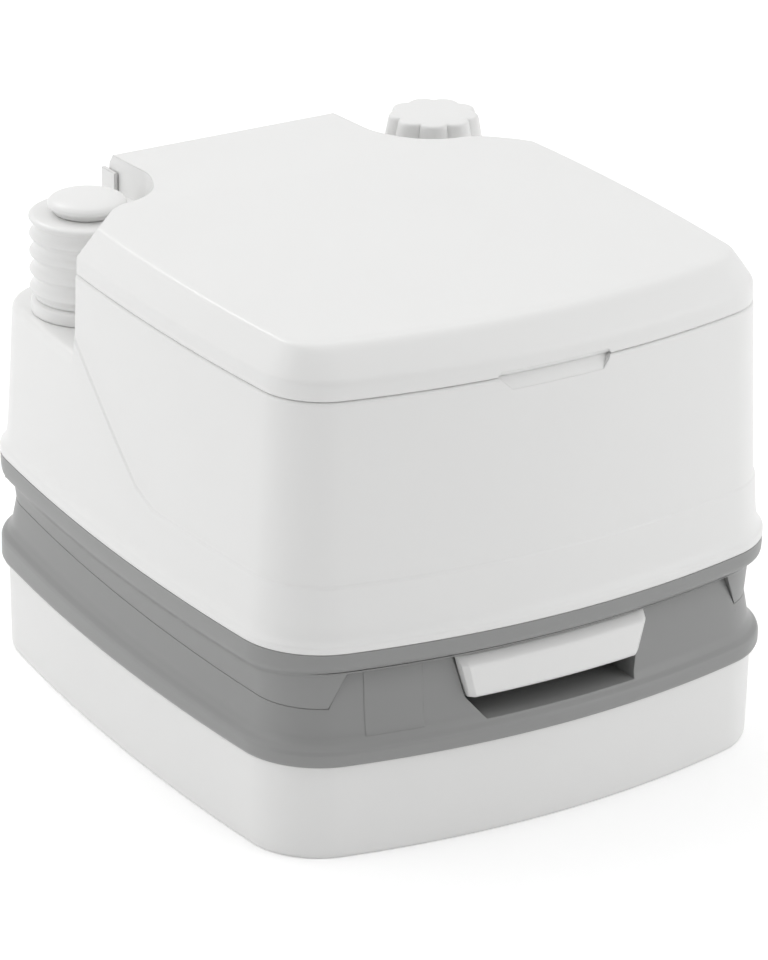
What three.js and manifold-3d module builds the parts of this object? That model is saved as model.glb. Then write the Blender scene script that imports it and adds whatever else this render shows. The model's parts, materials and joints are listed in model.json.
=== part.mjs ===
// Portable camp toilet: a waste section below, a flush section with bowl, seat and lid above.
// Millimetres, +Z up, front towards -Y, origin on the floor under the middle of the object.
import * as THREE from "three";
import { mergeVertices } from "three/addons/utils/BufferGeometryUtils.js";
import Module from "manifold-3d";

const wasm = await Module();
wasm.setup();

// ---------- driving dimensions ----------
const WIDTH = 383;
const DEPTH = 427;
const WALL = 3;
const GAP = 0.3;

// plan outline: one arc per side and one per corner, tangent to each other
const FRONT_RADIUS = 620;
const SIDE_RADIUS = 1550;
const SIDE_MID_Y = -23;
const REAR_RADIUS = 9000;
const FRONT_CORNER = 56;
const REAR_CORNER = 53;

// heights
const BASE_TOP = 64.2;
const RIM_TOP = 78;
const DECK_TOP = 97;
const SEAM = 104.9;
const FLOOR_UNDER = 122;
const FLOOR_TOP = 124.6;
const BAND_TOP = 138.7;
const SHELL_BOTTOM = 139;
const RIDGE = 180;
const SHELF = 242;
const SHELL_TOP = 295.6;
const LID_BOTTOM = 296.3;
const LID_TOP = 326.3;
const TAIL_TOP = 322;

// waist inset at the seam, wall inset at the top of the shell
const WAIST_INSET = 10.2;
const TOP_INSET = 12.7;

// front panel and handle
const PANEL_TOP = 121.6;
const PANEL_HALF_TOP = 136;
const PANEL_HALF_LOW = 144;
const HANDLE_BOTTOM = 93;
const POCKET_BOTTOM = 79.5;
const POCKET_BACK_Y = -172;

// valve
const OUTLET_Y = 5;
const OUTLET_RADIUS = 50;
const BLADE_BOTTOM = 101.2;
const BLADE_TOP = 104.2;
const BLADE_REAR_Y = 62;
const BLADE_FRONT_Y = -55;
const BLADE_HALF = 62;

// pump on the left, filler cap on the right, both at the rear
const PUMP = new THREE.Vector2(-130.3, 143.4);
const FILLER = new THREE.Vector2(130.3, 143.4);
const NOTCH_RADIUS = 42;
const CAP_TOP = 330;

// hinge line of seat and lid
const HINGE_Y = 190;
const HINGE_Z = 306;
const PIN_RADIUS = 2.4;
const PIN_BORE = 2.5;
const TAIL_HALF = 83.6;
const CHEEK_IN = 84.2;
const CHEEK_OUT = 90.5;
const CHEEK_FRONT_Y = 184;
const CHEEK_TOP = 314;

// emptying spout
const SPOUT = new THREE.Vector3(95, 152, 95);
const SPOUT_OUTER = 19.5;
const SPOUT_BORE = 15;
const SPOUT_REACH = 130;

// ---------- materials ----------
function plastic(colour, roughness) {
  return new THREE.MeshStandardMaterial({ color: colour, roughness, metalness: 0 });
}
const WHITE = plastic(0xeeeeec, 0.45);
const GREY = plastic(0x9ea1a1, 0.5);
const DARK = plastic(0x4c4f52, 0.55);
const RUBBER = plastic(0x232426, 0.85);
const STEEL = new THREE.MeshStandardMaterial({ color: 0xb9bcc0, roughness: 0.3, metalness: 1 });

// ---------- solids ----------
function solidOf(geometry) {
  const bare = geometry.clone();
  bare.deleteAttribute("normal");
  bare.deleteAttribute("uv");
  const merged = mergeVertices(bare, 1e-4);
  return new wasm.Manifold(
    new wasm.Mesh({
      numProp: 3,
      vertProperties: merged.attributes.position.array,
      triVerts: new Uint32Array(merged.index.array),
    }),
  );
}

function geometryOf(solid) {
  const made = solid.getMesh();
  const geometry = new THREE.BufferGeometry();
  geometry.setAttribute("position", new THREE.BufferAttribute(made.vertProperties, 3));
  geometry.setIndex(new THREE.BufferAttribute(made.triVerts, 1));
  geometry.computeVertexNormals();
  return geometry;
}

function join(first, ...others) {
  return others.reduce((sum, next) => sum.add(next), first);
}

function cut(first, ...others) {
  return others.reduce((rest, next) => rest.subtract(next), first);
}

function box(x0, x1, y0, y1, z0, z1) {
  const geometry = new THREE.BoxGeometry(x1 - x0, y1 - y0, z1 - z0);
  return solidOf(geometry.translate((x0 + x1) / 2, (y0 + y1) / 2, (z0 + z1) / 2));
}

// A prism standing on a plan outline, from z0 to z1.
function prism(points, z0, z1) {
  const geometry = new THREE.ExtrudeGeometry(new THREE.Shape(points), {
    depth: z1 - z0,
    bevelEnabled: false,
  });
  return solidOf(geometry.translate(0, 0, z0));
}

// A prism across the object whose section is drawn in the plane of y and z.
function crossPrism(points, x0, x1) {
  const geometry = new THREE.ExtrudeGeometry(new THREE.Shape(points), {
    depth: x1 - x0,
    bevelEnabled: false,
  });
  geometry.rotateX(Math.PI / 2).rotateZ(Math.PI / 2);
  return solidOf(geometry.translate(x0, 0, 0));
}

// A prism running front to back whose section is drawn in the plane of x and z.
function deepPrism(points, y0, y1) {
  const geometry = new THREE.ExtrudeGeometry(new THREE.Shape(points), {
    depth: y1 - y0,
    bevelEnabled: false,
  });
  geometry.rotateX(Math.PI / 2);
  return solidOf(geometry.translate(0, y1, 0));
}

function disc(centre, radius, z0, z1, steps = 20) {
  const geometry = new THREE.CylinderGeometry(radius, radius, z1 - z0, steps);
  geometry.rotateX(Math.PI / 2);
  return solidOf(geometry.translate(centre.x, centre.y, (z0 + z1) / 2));
}

function ringDisc(centre, outer, inner, z0, z1, steps = 20) {
  return cut(disc(centre, outer, z0, z1, steps), disc(centre, inner, z0 - 1, z1 + 1, steps));
}

// A rod along x.
function crossRod(radius, x0, x1, y, z, steps = 16) {
  const geometry = new THREE.CylinderGeometry(radius, radius, x1 - x0, steps);
  geometry.rotateZ(Math.PI / 2);
  return solidOf(geometry.translate((x0 + x1) / 2, y, z));
}

// A turned piece: the profile holds radius and height, from the axis at the bottom to the axis at the top.
function turned(profile, centre, steps = 18) {
  const points = profile.map(([radius, height]) => new THREE.Vector2(radius, height));
  const geometry = new THREE.LatheGeometry(points, steps);
  geometry.rotateX(Math.PI / 2);
  return solidOf(geometry.translate(centre.x, centre.y, 0));
}

function sphere(centre, radius, steps = 16) {
  const geometry = new THREE.SphereGeometry(radius, steps, steps / 2);
  return solidOf(geometry.translate(centre.x, centre.y, centre.z));
}

// A tube with a bore that follows a curve.
function hose(points, outer, inner, steps) {
  const section = new THREE.Shape();
  section.absarc(0, 0, outer, 0, Math.PI * 2);
  const bore = new THREE.Path();
  bore.absarc(0, 0, inner, 0, Math.PI * 2);
  section.holes.push(bore);
  const geometry = new THREE.ExtrudeGeometry(section, {
    steps,
    curveSegments: 4,
    bevelEnabled: false,
    extrudePath: new THREE.CatmullRomCurve3(points),
  });
  return solidOf(geometry);
}

class Helix extends THREE.Curve {
  constructor(centre, radius, z0, z1, turns) {
    super();
    Object.assign(this, { centre, radius, z0, z1, turns });
  }
  getPoint(t, target = new THREE.Vector3()) {
    const angle = t * this.turns * 2 * Math.PI;
    return target.set(
      this.centre.x + this.radius * Math.cos(angle),
      this.centre.y + this.radius * Math.sin(angle),
      this.z0 + t * (this.z1 - this.z0),
    );
  }
}

function coil(centre, radius, wire, z0, z1, turns) {
  const section = new THREE.Shape();
  section.absarc(0, 0, wire, 0, Math.PI * 2);
  const geometry = new THREE.ExtrudeGeometry(section, {
    steps: turns * 8,
    curveSegments: 3,
    bevelEnabled: false,
    extrudePath: new Helix(centre, radius, z0, z1, turns),
  });
  return solidOf(geometry);
}

// ---------- plan outline ----------
// The meeting point of two circles that scores higher.
function circlesMeet(a, radiusA, b, radiusB, score) {
  const apart = a.distanceTo(b);
  const along = (radiusA ** 2 - radiusB ** 2 + apart ** 2) / (2 * apart);
  const off = Math.sqrt(radiusA ** 2 - along ** 2);
  const unit = b.clone().sub(a).divideScalar(apart);
  const foot = a.clone().addScaledVector(unit, along);
  const normal = new THREE.Vector2(-unit.y, unit.x);
  const [p, q] = [off, -off].map((s) => foot.clone().addScaledVector(normal, s));
  return score(p) > score(q) ? p : q;
}

// Arcs of the right half from the middle of the front to the middle of the rear.
function outlineArcs(rearExtra) {
  const front = new THREE.Vector2(0, -DEPTH / 2 + FRONT_RADIUS);
  const side = new THREE.Vector2(WIDTH / 2 - SIDE_RADIUS, SIDE_MID_Y);
  const rear = new THREE.Vector2(0, DEPTH / 2 + rearExtra - REAR_RADIUS);
  const frontCorner = circlesMeet(
    side, SIDE_RADIUS - FRONT_CORNER, front, FRONT_RADIUS - FRONT_CORNER, (p) => p.x - p.y,
  );
  const rearCorner = circlesMeet(
    side, SIDE_RADIUS - REAR_CORNER, rear, REAR_RADIUS - REAR_CORNER, (p) => p.x + p.y,
  );
  const bearing = (from, to) => Math.atan2(to.y - from.y, to.x - from.x);
  const turns = [
    -Math.PI / 2,
    bearing(front, frontCorner),
    bearing(side, frontCorner),
    bearing(side, rearCorner),
    bearing(rear, rearCorner),
    Math.PI / 2,
  ];
  return [
    [front, FRONT_RADIUS, 4],
    [frontCorner, FRONT_CORNER, 6],
    [side, SIDE_RADIUS, 3],
    [rearCorner, REAR_CORNER, 5],
    [rear, REAR_RADIUS, 1],
  ].map(([centre, radius, steps], k) => ({
    centre, radius, steps, from: turns[k], to: turns[k + 1],
  }));
}

function mirrored(half) {
  const left = half.slice(1, -1).reverse();
  return [...half, ...left.map((p) => new THREE.Vector2(-p.x, p.y))];
}

// The closed outline, moved inwards by inset, counter-clockwise from above.
function outline(inset, rearExtra = 0) {
  const half = [];
  for (const { centre, radius, from, to, steps } of outlineArcs(rearExtra)) {
    for (let i = half.length ? 1 : 0; i <= steps; i += 1) {
      const angle = from + ((to - from) * i) / steps;
      const reach = radius - inset;
      half.push(
        new THREE.Vector2(
          centre.x + reach * Math.cos(angle),
          centre.y + reach * Math.sin(angle),
        ),
      );
    }
  }
  half[0].x = 0;
  half[half.length - 1].x = 0;
  return mirrored(half);
}

function ellipse(a, b, cy, steps = 24) {
  return Array.from({ length: steps }, (_, i) => {
    const angle = (i / steps) * 2 * Math.PI;
    return new THREE.Vector2(a * Math.cos(angle), cy + b * Math.sin(angle));
  });
}

// A solid through rings of equal length, lowest first.
function loft(levels) {
  const count = levels[0].ring.length;
  const positions = levels.flatMap(({ z, ring }) => ring.flatMap((p) => [p.x, p.y, z]));
  const faces = [];
  for (let k = 0; k + 1 < levels.length; k += 1) {
    for (let i = 0; i < count; i += 1) {
      const next = (i + 1) % count;
      const low = k * count;
      const high = low + count;
      faces.push(low + i, low + next, high + next, low + i, high + next, high + i);
    }
  }
  const last = (levels.length - 1) * count;
  for (const [a, b, c] of THREE.ShapeUtils.triangulateShape(levels[0].ring, [])) {
    faces.push(c, b, a);
  }
  for (const [a, b, c] of THREE.ShapeUtils.triangulateShape(levels.at(-1).ring, [])) {
    faces.push(last + a, last + b, last + c);
  }
  const geometry = new THREE.BufferGeometry();
  geometry.setAttribute("position", new THREE.Float32BufferAttribute(positions, 3));
  geometry.setIndex(faces);
  return solidOf(geometry);
}

// Levels are pairs of height and inset.
function outlineLoft(levels, rearExtra = 0) {
  return loft(levels.map(([z, inset]) => ({ z, ring: outline(inset, rearExtra) })));
}

// Levels are height, half width, half depth and middle y.
function ellipseLoft(levels, grow = 0, steps = 24) {
  return loft(levels.map(([z, a, b, cy]) => ({ z, ring: ellipse(a + grow, b + grow, cy, steps) })));
}

// ---------- plan of the lid: shell outline in front, notches round pump and filler, tail at the rear ----------
const REAR = 230;
const LID_SIDE = WIDTH / 2 - TOP_INSET - 2.2;
const SHOULDER_ROUND = 6;
const SHOULDER = new THREE.Vector2(LID_SIDE - SHOULDER_ROUND, 66.5);
const SHOULDER_TURN = 0.99;
const SLANT_NORMAL = new THREE.Vector2(Math.cos(SHOULDER_TURN), Math.sin(SHOULDER_TURN));
const SLANT_REACH = SLANT_NORMAL.dot(SHOULDER) + SHOULDER_ROUND;
const TAIL_ROOT_Y = 156;
const TAIL_END_Y = 200.6;

// The flank turns in towards the notch: an arc, or one corner once the inset has used the arc up.
function shoulder(inset) {
  const reach = SHOULDER_ROUND - inset;
  const parts = reach > 0 ? [0, 0.33, 0.67, 1] : [0.5];
  const far = reach > 0 ? reach : reach / Math.cos(SHOULDER_TURN / 2);
  return parts.map((part) => {
    const angle = SHOULDER_TURN * part;
    return new THREE.Vector2(
      SHOULDER.x + far * Math.cos(angle), SHOULDER.y + far * Math.sin(angle),
    );
  });
}

// The arc round the filler, from the slanted wall to the root of the tail.
function notchEdge(inset) {
  const reach = NOTCH_RADIUS + inset;
  const apart = SLANT_NORMAL.dot(FILLER) - SLANT_REACH + inset;
  const from = SHOULDER_TURN - Math.PI + Math.acos(apart / reach);
  return Array.from({ length: 7 }, (_, i) => {
    const angle = from + ((-Math.PI - from) * i) / 6;
    return new THREE.Vector2(
      FILLER.x + reach * Math.cos(angle), FILLER.y + reach * Math.sin(angle),
    );
  });
}

function lidPlan(inset) {
  const front = outline(TOP_INSET + inset, 80);
  const half = front.slice(0, front.length / 2 + 1).filter((p) => p.x >= 0 && p.y < 40);
  half.push(...shoulder(inset), ...notchEdge(inset));
  half.push(new THREE.Vector2(TAIL_HALF - inset, TAIL_ROOT_Y - inset / 2));
  half.push(new THREE.Vector2(TAIL_HALF - inset, TAIL_END_Y - 3 - inset));
  half.push(new THREE.Vector2(TAIL_HALF - inset - 3, TAIL_END_Y - inset));
  half.push(new THREE.Vector2(0, TAIL_END_Y - inset));
  half[0].x = 0;
  return mirrored(half);
}

// ---------- waste section ----------
function slantedPanel(halfTop, halfLow, zTop, zLow, y0, y1) {
  return deepPrism(
    [
      new THREE.Vector2(-halfLow, zLow),
      new THREE.Vector2(halfLow, zLow),
      new THREE.Vector2(halfTop, zTop),
      new THREE.Vector2(-halfTop, zTop),
    ],
    y0,
    y1,
  );
}

const RECESS = { x0: -64, x1: 130, y0: 120, z0: 69.5 };

function wasteTankBase() {
  const outer = outlineLoft([[0, 9.5], [1.2, 7.4], [3.5, 6.4], [BASE_TOP, 4.7]]);
  const inner = outlineLoft([[WALL, 9.2], [BASE_TOP + 1, 7.3]]);
  return cut(outer, inner);
}

const POCKET = { halfTop: 68.6, halfLow: 60.5 };

function pocketVolume(grow) {
  return slantedPanel(
    POCKET.halfTop + grow, POCKET.halfLow + grow,
    PANEL_TOP + 6, POCKET_BOTTOM - grow,
    -REAR, POCKET_BACK_Y + grow,
  );
}

function recessVolume(grow) {
  const { x0, x1, y0, z0 } = RECESS;
  return box(x0 - grow, x1 + grow, y0 - grow, REAR, z0 - grow, SEAM + 5);
}

function frontPanel(shrink) {
  const slope = outlineLoft([
    [RIM_TOP, 1.2 + shrink],
    [84, 3.4 + shrink],
    [90, 5.6 + shrink],
    [100, 8.8 + shrink],
    [112, 11.8 + shrink],
    [PANEL_TOP - shrink, 13.5 + shrink],
  ]);
  const slant = slantedPanel(
    PANEL_HALF_TOP - shrink, PANEL_HALF_LOW - shrink,
    PANEL_TOP + 1, SEAM - 1,
    -REAR, POCKET_BACK_Y + WALL - shrink,
  );
  const below = box(
    -PANEL_HALF_LOW + shrink, PANEL_HALF_LOW - shrink, -REAR, POCKET_BACK_Y + WALL - shrink,
    RIM_TOP - 4, SEAM,
  );
  return slope.intersect(join(slant, below));
}

function wasteTankTop() {
  const rim = outlineLoft([
    [BASE_TOP + GAP, 0.8],
    [66, 0],
    [RIM_TOP, 0],
    [80, 0.8],
    [84, 3],
    [90, 7.5],
    [96, 9.6],
    [SEAM, WAIST_INSET],
  ]);
  const deckWell = outlineLoft([[DECK_TOP, 14.5], [SEAM + 3, 14.5]]);
  const wellFront = box(-220, 220, -REAR, POCKET_BACK_Y + WALL, DECK_TOP - 1, SEAM + 4);
  const panelKeep = slantedPanel(
    PANEL_HALF_TOP, PANEL_HALF_LOW, PANEL_TOP + 1, SEAM - 12, -REAR, POCKET_BACK_Y + WALL,
  );
  const well = cut(deckWell, wellFront.intersect(panelKeep));
  const outer = cut(join(cut(rim, well), frontPanel(0)), pocketVolume(0), recessVolume(0));
  const hollow = outlineLoft([
    [BASE_TOP - 1, 7.4],
    [67, 7.4],
    [70, 3.2],
    [RIM_TOP - 1, 3.2],
    [84, 6.6],
    [90, 11.2],
    [DECK_TOP - WALL, 14],
  ]);
  const cavity = cut(join(hollow, frontPanel(WALL)), pocketVolume(WALL), recessVolume(WALL));
  const stemSlot = box(-31, 31, POCKET_BACK_Y - 1, POCKET_BACK_Y + WALL + 1, 100.8, 104.7);
  const outlet = disc({ x: 0, y: OUTLET_Y }, OUTLET_RADIUS, DECK_TOP - 6, DECK_TOP + 2, 24);
  const spoutHole = disc(SPOUT, 18, RECESS.z0 - 6, RECESS.z0 + 2);
  const ventHole = disc(VENT, 3.6, DECK_TOP - 6, DECK_TOP + 2, 12);
  const lug = box(LATCH_X + 12, LATCH_X + 26, 198, 209, 97.6, 101);
  return join(cut(outer, cavity, stemSlot, outlet, spoutHole, ventHole), lug);
}

const FRAME = { half: 78, y0: -60, y1: 76, z0: DECK_TOP + GAP, z1: 112.9 };

function valveFrame() {
  const { half, y0, y1, z0, z1 } = FRAME;
  const centre = { x: 0, y: OUTLET_Y };
  const block = box(-half, half, y0, y1, z0, z1);
  const opening = disc(centre, OUTLET_RADIUS, z0 - 1, z1 + 1, 24);
  const channel = box(-62.6, 62.6, y0 - 1, BLADE_REAR_Y + 0.6, 100.8, 104.6);
  const groove = disc(centre, 56.5, 104.5, 108.4, 24);
  const screwHoles = SCREWS.map((at) => disc(at, 2.6, z0 - 1, z1 + 1, 8));
  const heads = SCREWS.map((at) => disc(at, 5, z1 - 3.2, z1 + 1, 12));
  return cut(block, opening, channel, groove, ...screwHoles, ...heads);
}

const SCREWS = [-70, 70].flatMap((x) => [-48, 68].map((y) => new THREE.Vector2(x, y)));

function valveScrew(at) {
  const shank = disc(at, 2.2, FRAME.z0 + 0.2, FRAME.z1 - 3, 8);
  const head = disc(at, 4.6, FRAME.z1 - 3, FRAME.z1 - 0.4, 12);
  const slot = box(at.x - 4, at.x + 4, at.y - 0.5, at.y + 0.5, FRAME.z1 - 1.4, FRAME.z1 + 1);
  return cut(join(shank, head), slot);
}

function valveLipSeal() {
  return ringDisc({ x: 0, y: OUTLET_Y }, 56, 50.5, 104.9, 108, 24);
}

function valveBlade() {
  const plate = box(-BLADE_HALF, BLADE_HALF, BLADE_FRONT_Y, BLADE_REAR_Y, BLADE_BOTTOM, BLADE_TOP);
  const stem = box(-30, 30, -197, BLADE_FRONT_Y + 1, BLADE_BOTTOM, BLADE_TOP);
  return join(plate, stem);
}

function valveHandle() {
  const face = outlineLoft([
    [HANDLE_BOTTOM, 4.4],
    [HANDLE_BOTTOM + 2, 3.4],
    [116.5, 3.4],
    [PANEL_TOP - 0.4, 6.8],
  ]);
  const bar = slantedPanel(67.2, 60.6, PANEL_TOP, HANDLE_BOTTOM - 1, -REAR, -197.4);
  return face.intersect(bar);
}

const VENT = new THREE.Vector2(112, 62);

function ventButton() {
  const head = disc(VENT, 9, 104, 107.4, 20);
  const stem = disc(VENT, 3, 87.8, 104.5, 12);
  return join(head, stem);
}

// ---------- emptying spout, stowed across the rear and pointing to -X ----------
function rodAlong(from, to, radius, steps = 16) {
  return crossRod(radius, Math.min(from, to), Math.max(from, to), SPOUT.y, SPOUT.z, steps);
}

function spoutElbow() {
  const end = SPOUT.x - SPOUT_REACH;
  const outside = join(
    disc(SPOUT, SPOUT_OUTER, 70.6, SPOUT.z, 16),
    disc(SPOUT, 17.5, 60, 72, 16),
    disc(SPOUT, 24, 72, 75, 20),
    sphere(SPOUT, SPOUT_OUTER, 16),
    rodAlong(end, SPOUT.x, SPOUT_OUTER),
  );
  const inside = join(
    disc(SPOUT, SPOUT_BORE, 59, SPOUT.z, 20),
    sphere(SPOUT, SPOUT_BORE, 16),
    rodAlong(end - 1, SPOUT.x, SPOUT_BORE),
  );
  const keepClear = ringDisc(SPOUT, 30, 17.5, 60, 71.9, 20);
  return cut(outside, inside, keepClear);
}

function spoutSeal() {
  return ringDisc(SPOUT, 23, 18.2, RECESS.z0 + GAP, 71.7, 20);
}

function spoutCap() {
  const end = SPOUT.x - SPOUT_REACH;
  const body = rodAlong(end - 6, end + 16, 23);
  const ribs = Array.from({ length: 8 }, (_, i) => {
    const angle = (i / 8) * 2 * Math.PI;
    const y = SPOUT.y + 23.6 * Math.cos(angle);
    const z = SPOUT.z + 23.6 * Math.sin(angle);
    return crossRod(3, end - 8, end + 17, y, z, 8);
  });
  return cut(body, rodAlong(end - 2.6, end + 17, SPOUT_OUTER + 0.5), ...ribs);
}

function spoutCapSeal() {
  const end = SPOUT.x - SPOUT_REACH;
  return cut(rodAlong(end - 2.3, end - GAP, 19), rodAlong(end - 3, end, 12));
}

// ---------- flush section ----------
function flushTankFloor() {
  const outer = outlineLoft([
    [SEAM + GAP, WAIST_INSET],
    [112, 9],
    [117.5, 7.6],
    [120.5, 4.6],
    [122.6, 1.6],
    [125, 0],
    [BAND_TOP, 0],
  ]);
  const above = outlineLoft([[FLOOR_TOP, 4.4], [127, 3.2], [BAND_TOP + 1, 3.2]]);
  const below = outlineLoft([[SEAM - 1, 14], [FLOOR_UNDER, 13]]);
  const frontGap = slantedPanel(
    PANEL_HALF_TOP + 1, PANEL_HALF_LOW + 1, FLOOR_UNDER, SEAM - 1, -REAR, -150,
  );
  const rearGap = box(RECESS.x0, RECESS.x1, 150, REAR, SEAM - 1, FLOOR_UNDER);
  const outlet = disc({ x: 0, y: OUTLET_Y }, 53.6, FLOOR_UNDER - 1, FLOOR_TOP + 1, 24);
  const studHole = stud(2.5, 190, 210);
  return cut(outer, above, below, frontGap, rearGap, outlet, studHole);
}

const SHELL_LEVELS = [
  [SHELL_BOTTOM, 0],
  [144.5, 0],
  [146.5, 1.6],
  [149.5, 3.9],
  [154, 5],
  [RIDGE - 1, 6.4],
  [RIDGE + 1, 7.2],
  [SHELF, 10.2],
  [SHELL_TOP - 2, TOP_INSET - 0.4],
  [SHELL_TOP, TOP_INSET + 0.4],
];

// Room for the pump: everything above the shelf behind the slanted wall and beside the tail.
function pumpNotch(shrink) {
  const inset = shrink - 0.8;
  const slantY = (SLANT_REACH - inset - SLANT_NORMAL.x * REAR) / SLANT_NORMAL.y;
  const plan = mirrored([
    new THREE.Vector2(0, -REAR),
    new THREE.Vector2(REAR, -REAR),
    new THREE.Vector2(REAR, slantY),
    ...notchEdge(inset),
    new THREE.Vector2(TAIL_HALF - inset, TAIL_ROOT_Y),
    new THREE.Vector2(TAIL_HALF - inset, REAR + 10),
    new THREE.Vector2(0, REAR + 10),
  ]);
  const region = box(-REAR, -CHEEK_OUT + shrink, 0, REAR, SHELF - shrink, 340);
  return cut(region, prism(plan, SHELF - shrink - 1, 341));
}

const BOWL_LEVELS = [
  [FLOOR_UNDER - 4, 50, 50, OUTLET_Y],
  [FLOOR_TOP + 2, 50, 50, OUTLET_Y],
  [142, 53, 55, 4],
  [160, 64, 70, -6],
  [200, 84, 100, -20],
  [250, 101, 125, -30],
  [SHELL_TOP + 1, 110, 137, -35],
];
const RIM = BOWL_LEVELS.at(-1);

function upperShell() {
  const outer = outlineLoft(SHELL_LEVELS);
  const cheeks = [-1, 1].map((side) => {
    const x = [side * CHEEK_IN, side * CHEEK_OUT].sort((a, b) => a - b);
    return box(x[0], x[1], CHEEK_FRONT_Y, TAIL_END_Y, SHELL_TOP - 4, CHEEK_TOP);
  });
  const hingeWell = box(-CHEEK_IN, CHEEK_IN, 178, REAR, 289, SHELL_TOP + 1);
  const wellFloor = box(-CHEEK_IN - WALL, CHEEK_IN + WALL, 175, 205, 286, SHELL_TOP);
  const inner = cut(
    outlineLoft([
      [SHELL_BOTTOM - 1, 3.2],
      [145, 3.2],
      [150, 7],
      [RIDGE, 9.8],
      [SHELL_TOP - WALL, TOP_INSET + WALL],
    ]),
    pumpNotch(WALL),
    wellFloor,
  );
  const bowlHole = ellipseLoft(
    [[SHELL_TOP - 5, 110, 137, RIM[3]], [SHELL_TOP + 2, 110, 137, RIM[3]]], 3.5,
  );
  const neck = disc(FILLER, 21, SHELL_TOP - 1, 312);
  const neckBore = disc(FILLER, 17.5, SHELL_TOP - 6, 313);
  const pumpHole = disc(PUMP, 28.6, SHELF - 5, SHELF + 1);
  const pins = [-1, 1].map((side) => pinRod(side, PIN_BORE));
  return cut(
    join(cut(outer, pumpNotch(0)), ...cheeks, neck),
    inner, hingeWell, bowlHole, neckBore, pumpHole, ...pins,
  );
}

function toiletBowl() {
  const outside = ellipseLoft(BOWL_LEVELS, WALL);
  const flange = ellipseLoft(
    [[SHELL_TOP + GAP, RIM[1], RIM[2], RIM[3]], [SHELL_TOP + 2.3, RIM[1], RIM[2], RIM[3]]], 8,
  );
  const lowest = BOWL_LEVELS[0];
  const inside = ellipseLoft([
    [lowest[0] - 2, ...lowest.slice(1)],
    ...BOWL_LEVELS.slice(0, -1),
    [SHELL_TOP + 4, ...RIM.slice(1)],
  ]);
  return cut(join(outside, flange), inside, nozzleRod(5.4, -12, 14));
}

function bowlOutletSeal() {
  return cut(
    disc({ x: 0, y: OUTLET_Y }, 60, 113.3, FLOOR_UNDER - GAP, 24),
    disc({ x: 0, y: OUTLET_Y }, 53.5, 116, FLOOR_UNDER + 1, 24),
    disc({ x: 0, y: OUTLET_Y }, 50.5, 112, FLOOR_UNDER, 24),
  );
}

// flush water nozzle through the rear left of the bowl's wall
const NOZZLE_ANGLE = THREE.MathUtils.degToRad(128);
const NOZZLE_Z = 278;
const NOZZLE_AT = new THREE.Vector3(
  107 * Math.cos(NOZZLE_ANGLE), -33 + 133 * Math.sin(NOZZLE_ANGLE), NOZZLE_Z,
);

function nozzleRod(radius, from, to) {
  const geometry = new THREE.CylinderGeometry(radius, radius, to - from, 12);
  geometry.rotateZ(-Math.PI / 2).translate((from + to) / 2, 0, 0).rotateZ(NOZZLE_ANGLE);
  return solidOf(geometry.translate(NOZZLE_AT.x, NOZZLE_AT.y, NOZZLE_AT.z));
}

function flushNozzle() {
  return cut(nozzleRod(5, -8, 12), nozzleRod(3, -9, 13));
}

function flushHose() {
  const out = new THREE.Vector3(Math.cos(NOZZLE_ANGLE), Math.sin(NOZZLE_ANGLE), 0);
  const start = NOZZLE_AT.clone().addScaledVector(out, 13);
  const end = new THREE.Vector3(PUMP.x + 22.5, PUMP.y - 22.5, 205);
  return hose(
    [
      start,
      start.clone().addScaledVector(out, 8),
      new THREE.Vector3(-97, 104, 238),
      end.clone().add(new THREE.Vector3(8, -8, 2)),
      end,
    ],
    4.6, 3, 10,
  );
}

// ---------- pump ----------
const BELLOWS_BOTTOM = 252.4;
const RIBS_TOP = 300;
const BELLOWS_TOP = 308;
const RIB_COUNT = 4;

function pumpBody() {
  return turned(
    [
      [0, 190], [28, 190], [28, SHELF + GAP], [35.5, SHELF + GAP], [36, 246], [36, 251],
      [35, BELLOWS_BOTTOM - GAP], [25.5, BELLOWS_BOTTOM - GAP], [25.5, 193], [0, 193],
    ],
    PUMP,
  ).subtract(disc(PUMP, 3.4, 188, 196, 12));
}

function bellows() {
  const pitch = (RIBS_TOP - BELLOWS_BOTTOM) / RIB_COUNT;
  const outside = [];
  const inside = [];
  for (let k = 0; k < RIB_COUNT; k += 1) {
    const z = BELLOWS_BOTTOM + k * pitch;
    outside.push([34.3, z], [37, z + pitch * 0.3], [37, z + pitch * 0.7]);
    inside.push([32.4, z]);
  }
  outside.push([34.3, RIBS_TOP], [34.3, 302.6], [37.6, 304.6], [37.6, 306.6], [36, BELLOWS_TOP]);
  inside.push([32.4, RIBS_TOP]);
  const crown = [[0, BELLOWS_TOP], [0, BELLOWS_TOP - 2.5]];
  return turned([...outside, ...crown, ...inside.reverse(), outside[0]], PUMP);
}

function pumpButton() {
  return turned(
    [
      [0, BELLOWS_TOP + GAP], [22, BELLOWS_TOP + GAP], [23.5, 312.4], [25.4, 313.4], [25.4, 315.4],
      [22, 317.4], [12, 319.4], [0, 320],
    ],
    PUMP,
  );
}

function suctionTube() {
  return ringDisc(PUMP, 5, 3.4, 132, 189.7, 12);
}

function suctionStrainer() {
  return cut(
    disc(PUMP, 9, FLOOR_TOP + GAP, 140, 16),
    disc(PUMP, 5.3, 131.7, 141, 12),
    disc(PUMP, 3.4, 127, 135, 12),
    box(PUMP.x - 12, PUMP.x + 12, PUMP.y - 1.2, PUMP.y + 1.2, 123, 128.5),
    box(PUMP.x - 1.2, PUMP.x + 1.2, PUMP.y - 12, PUMP.y + 12, 123, 128.5),
  );
}

function checkBall() {
  return sphere({ x: PUMP.x, y: PUMP.y, z: 198.6 }, 5, 12);
}

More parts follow.
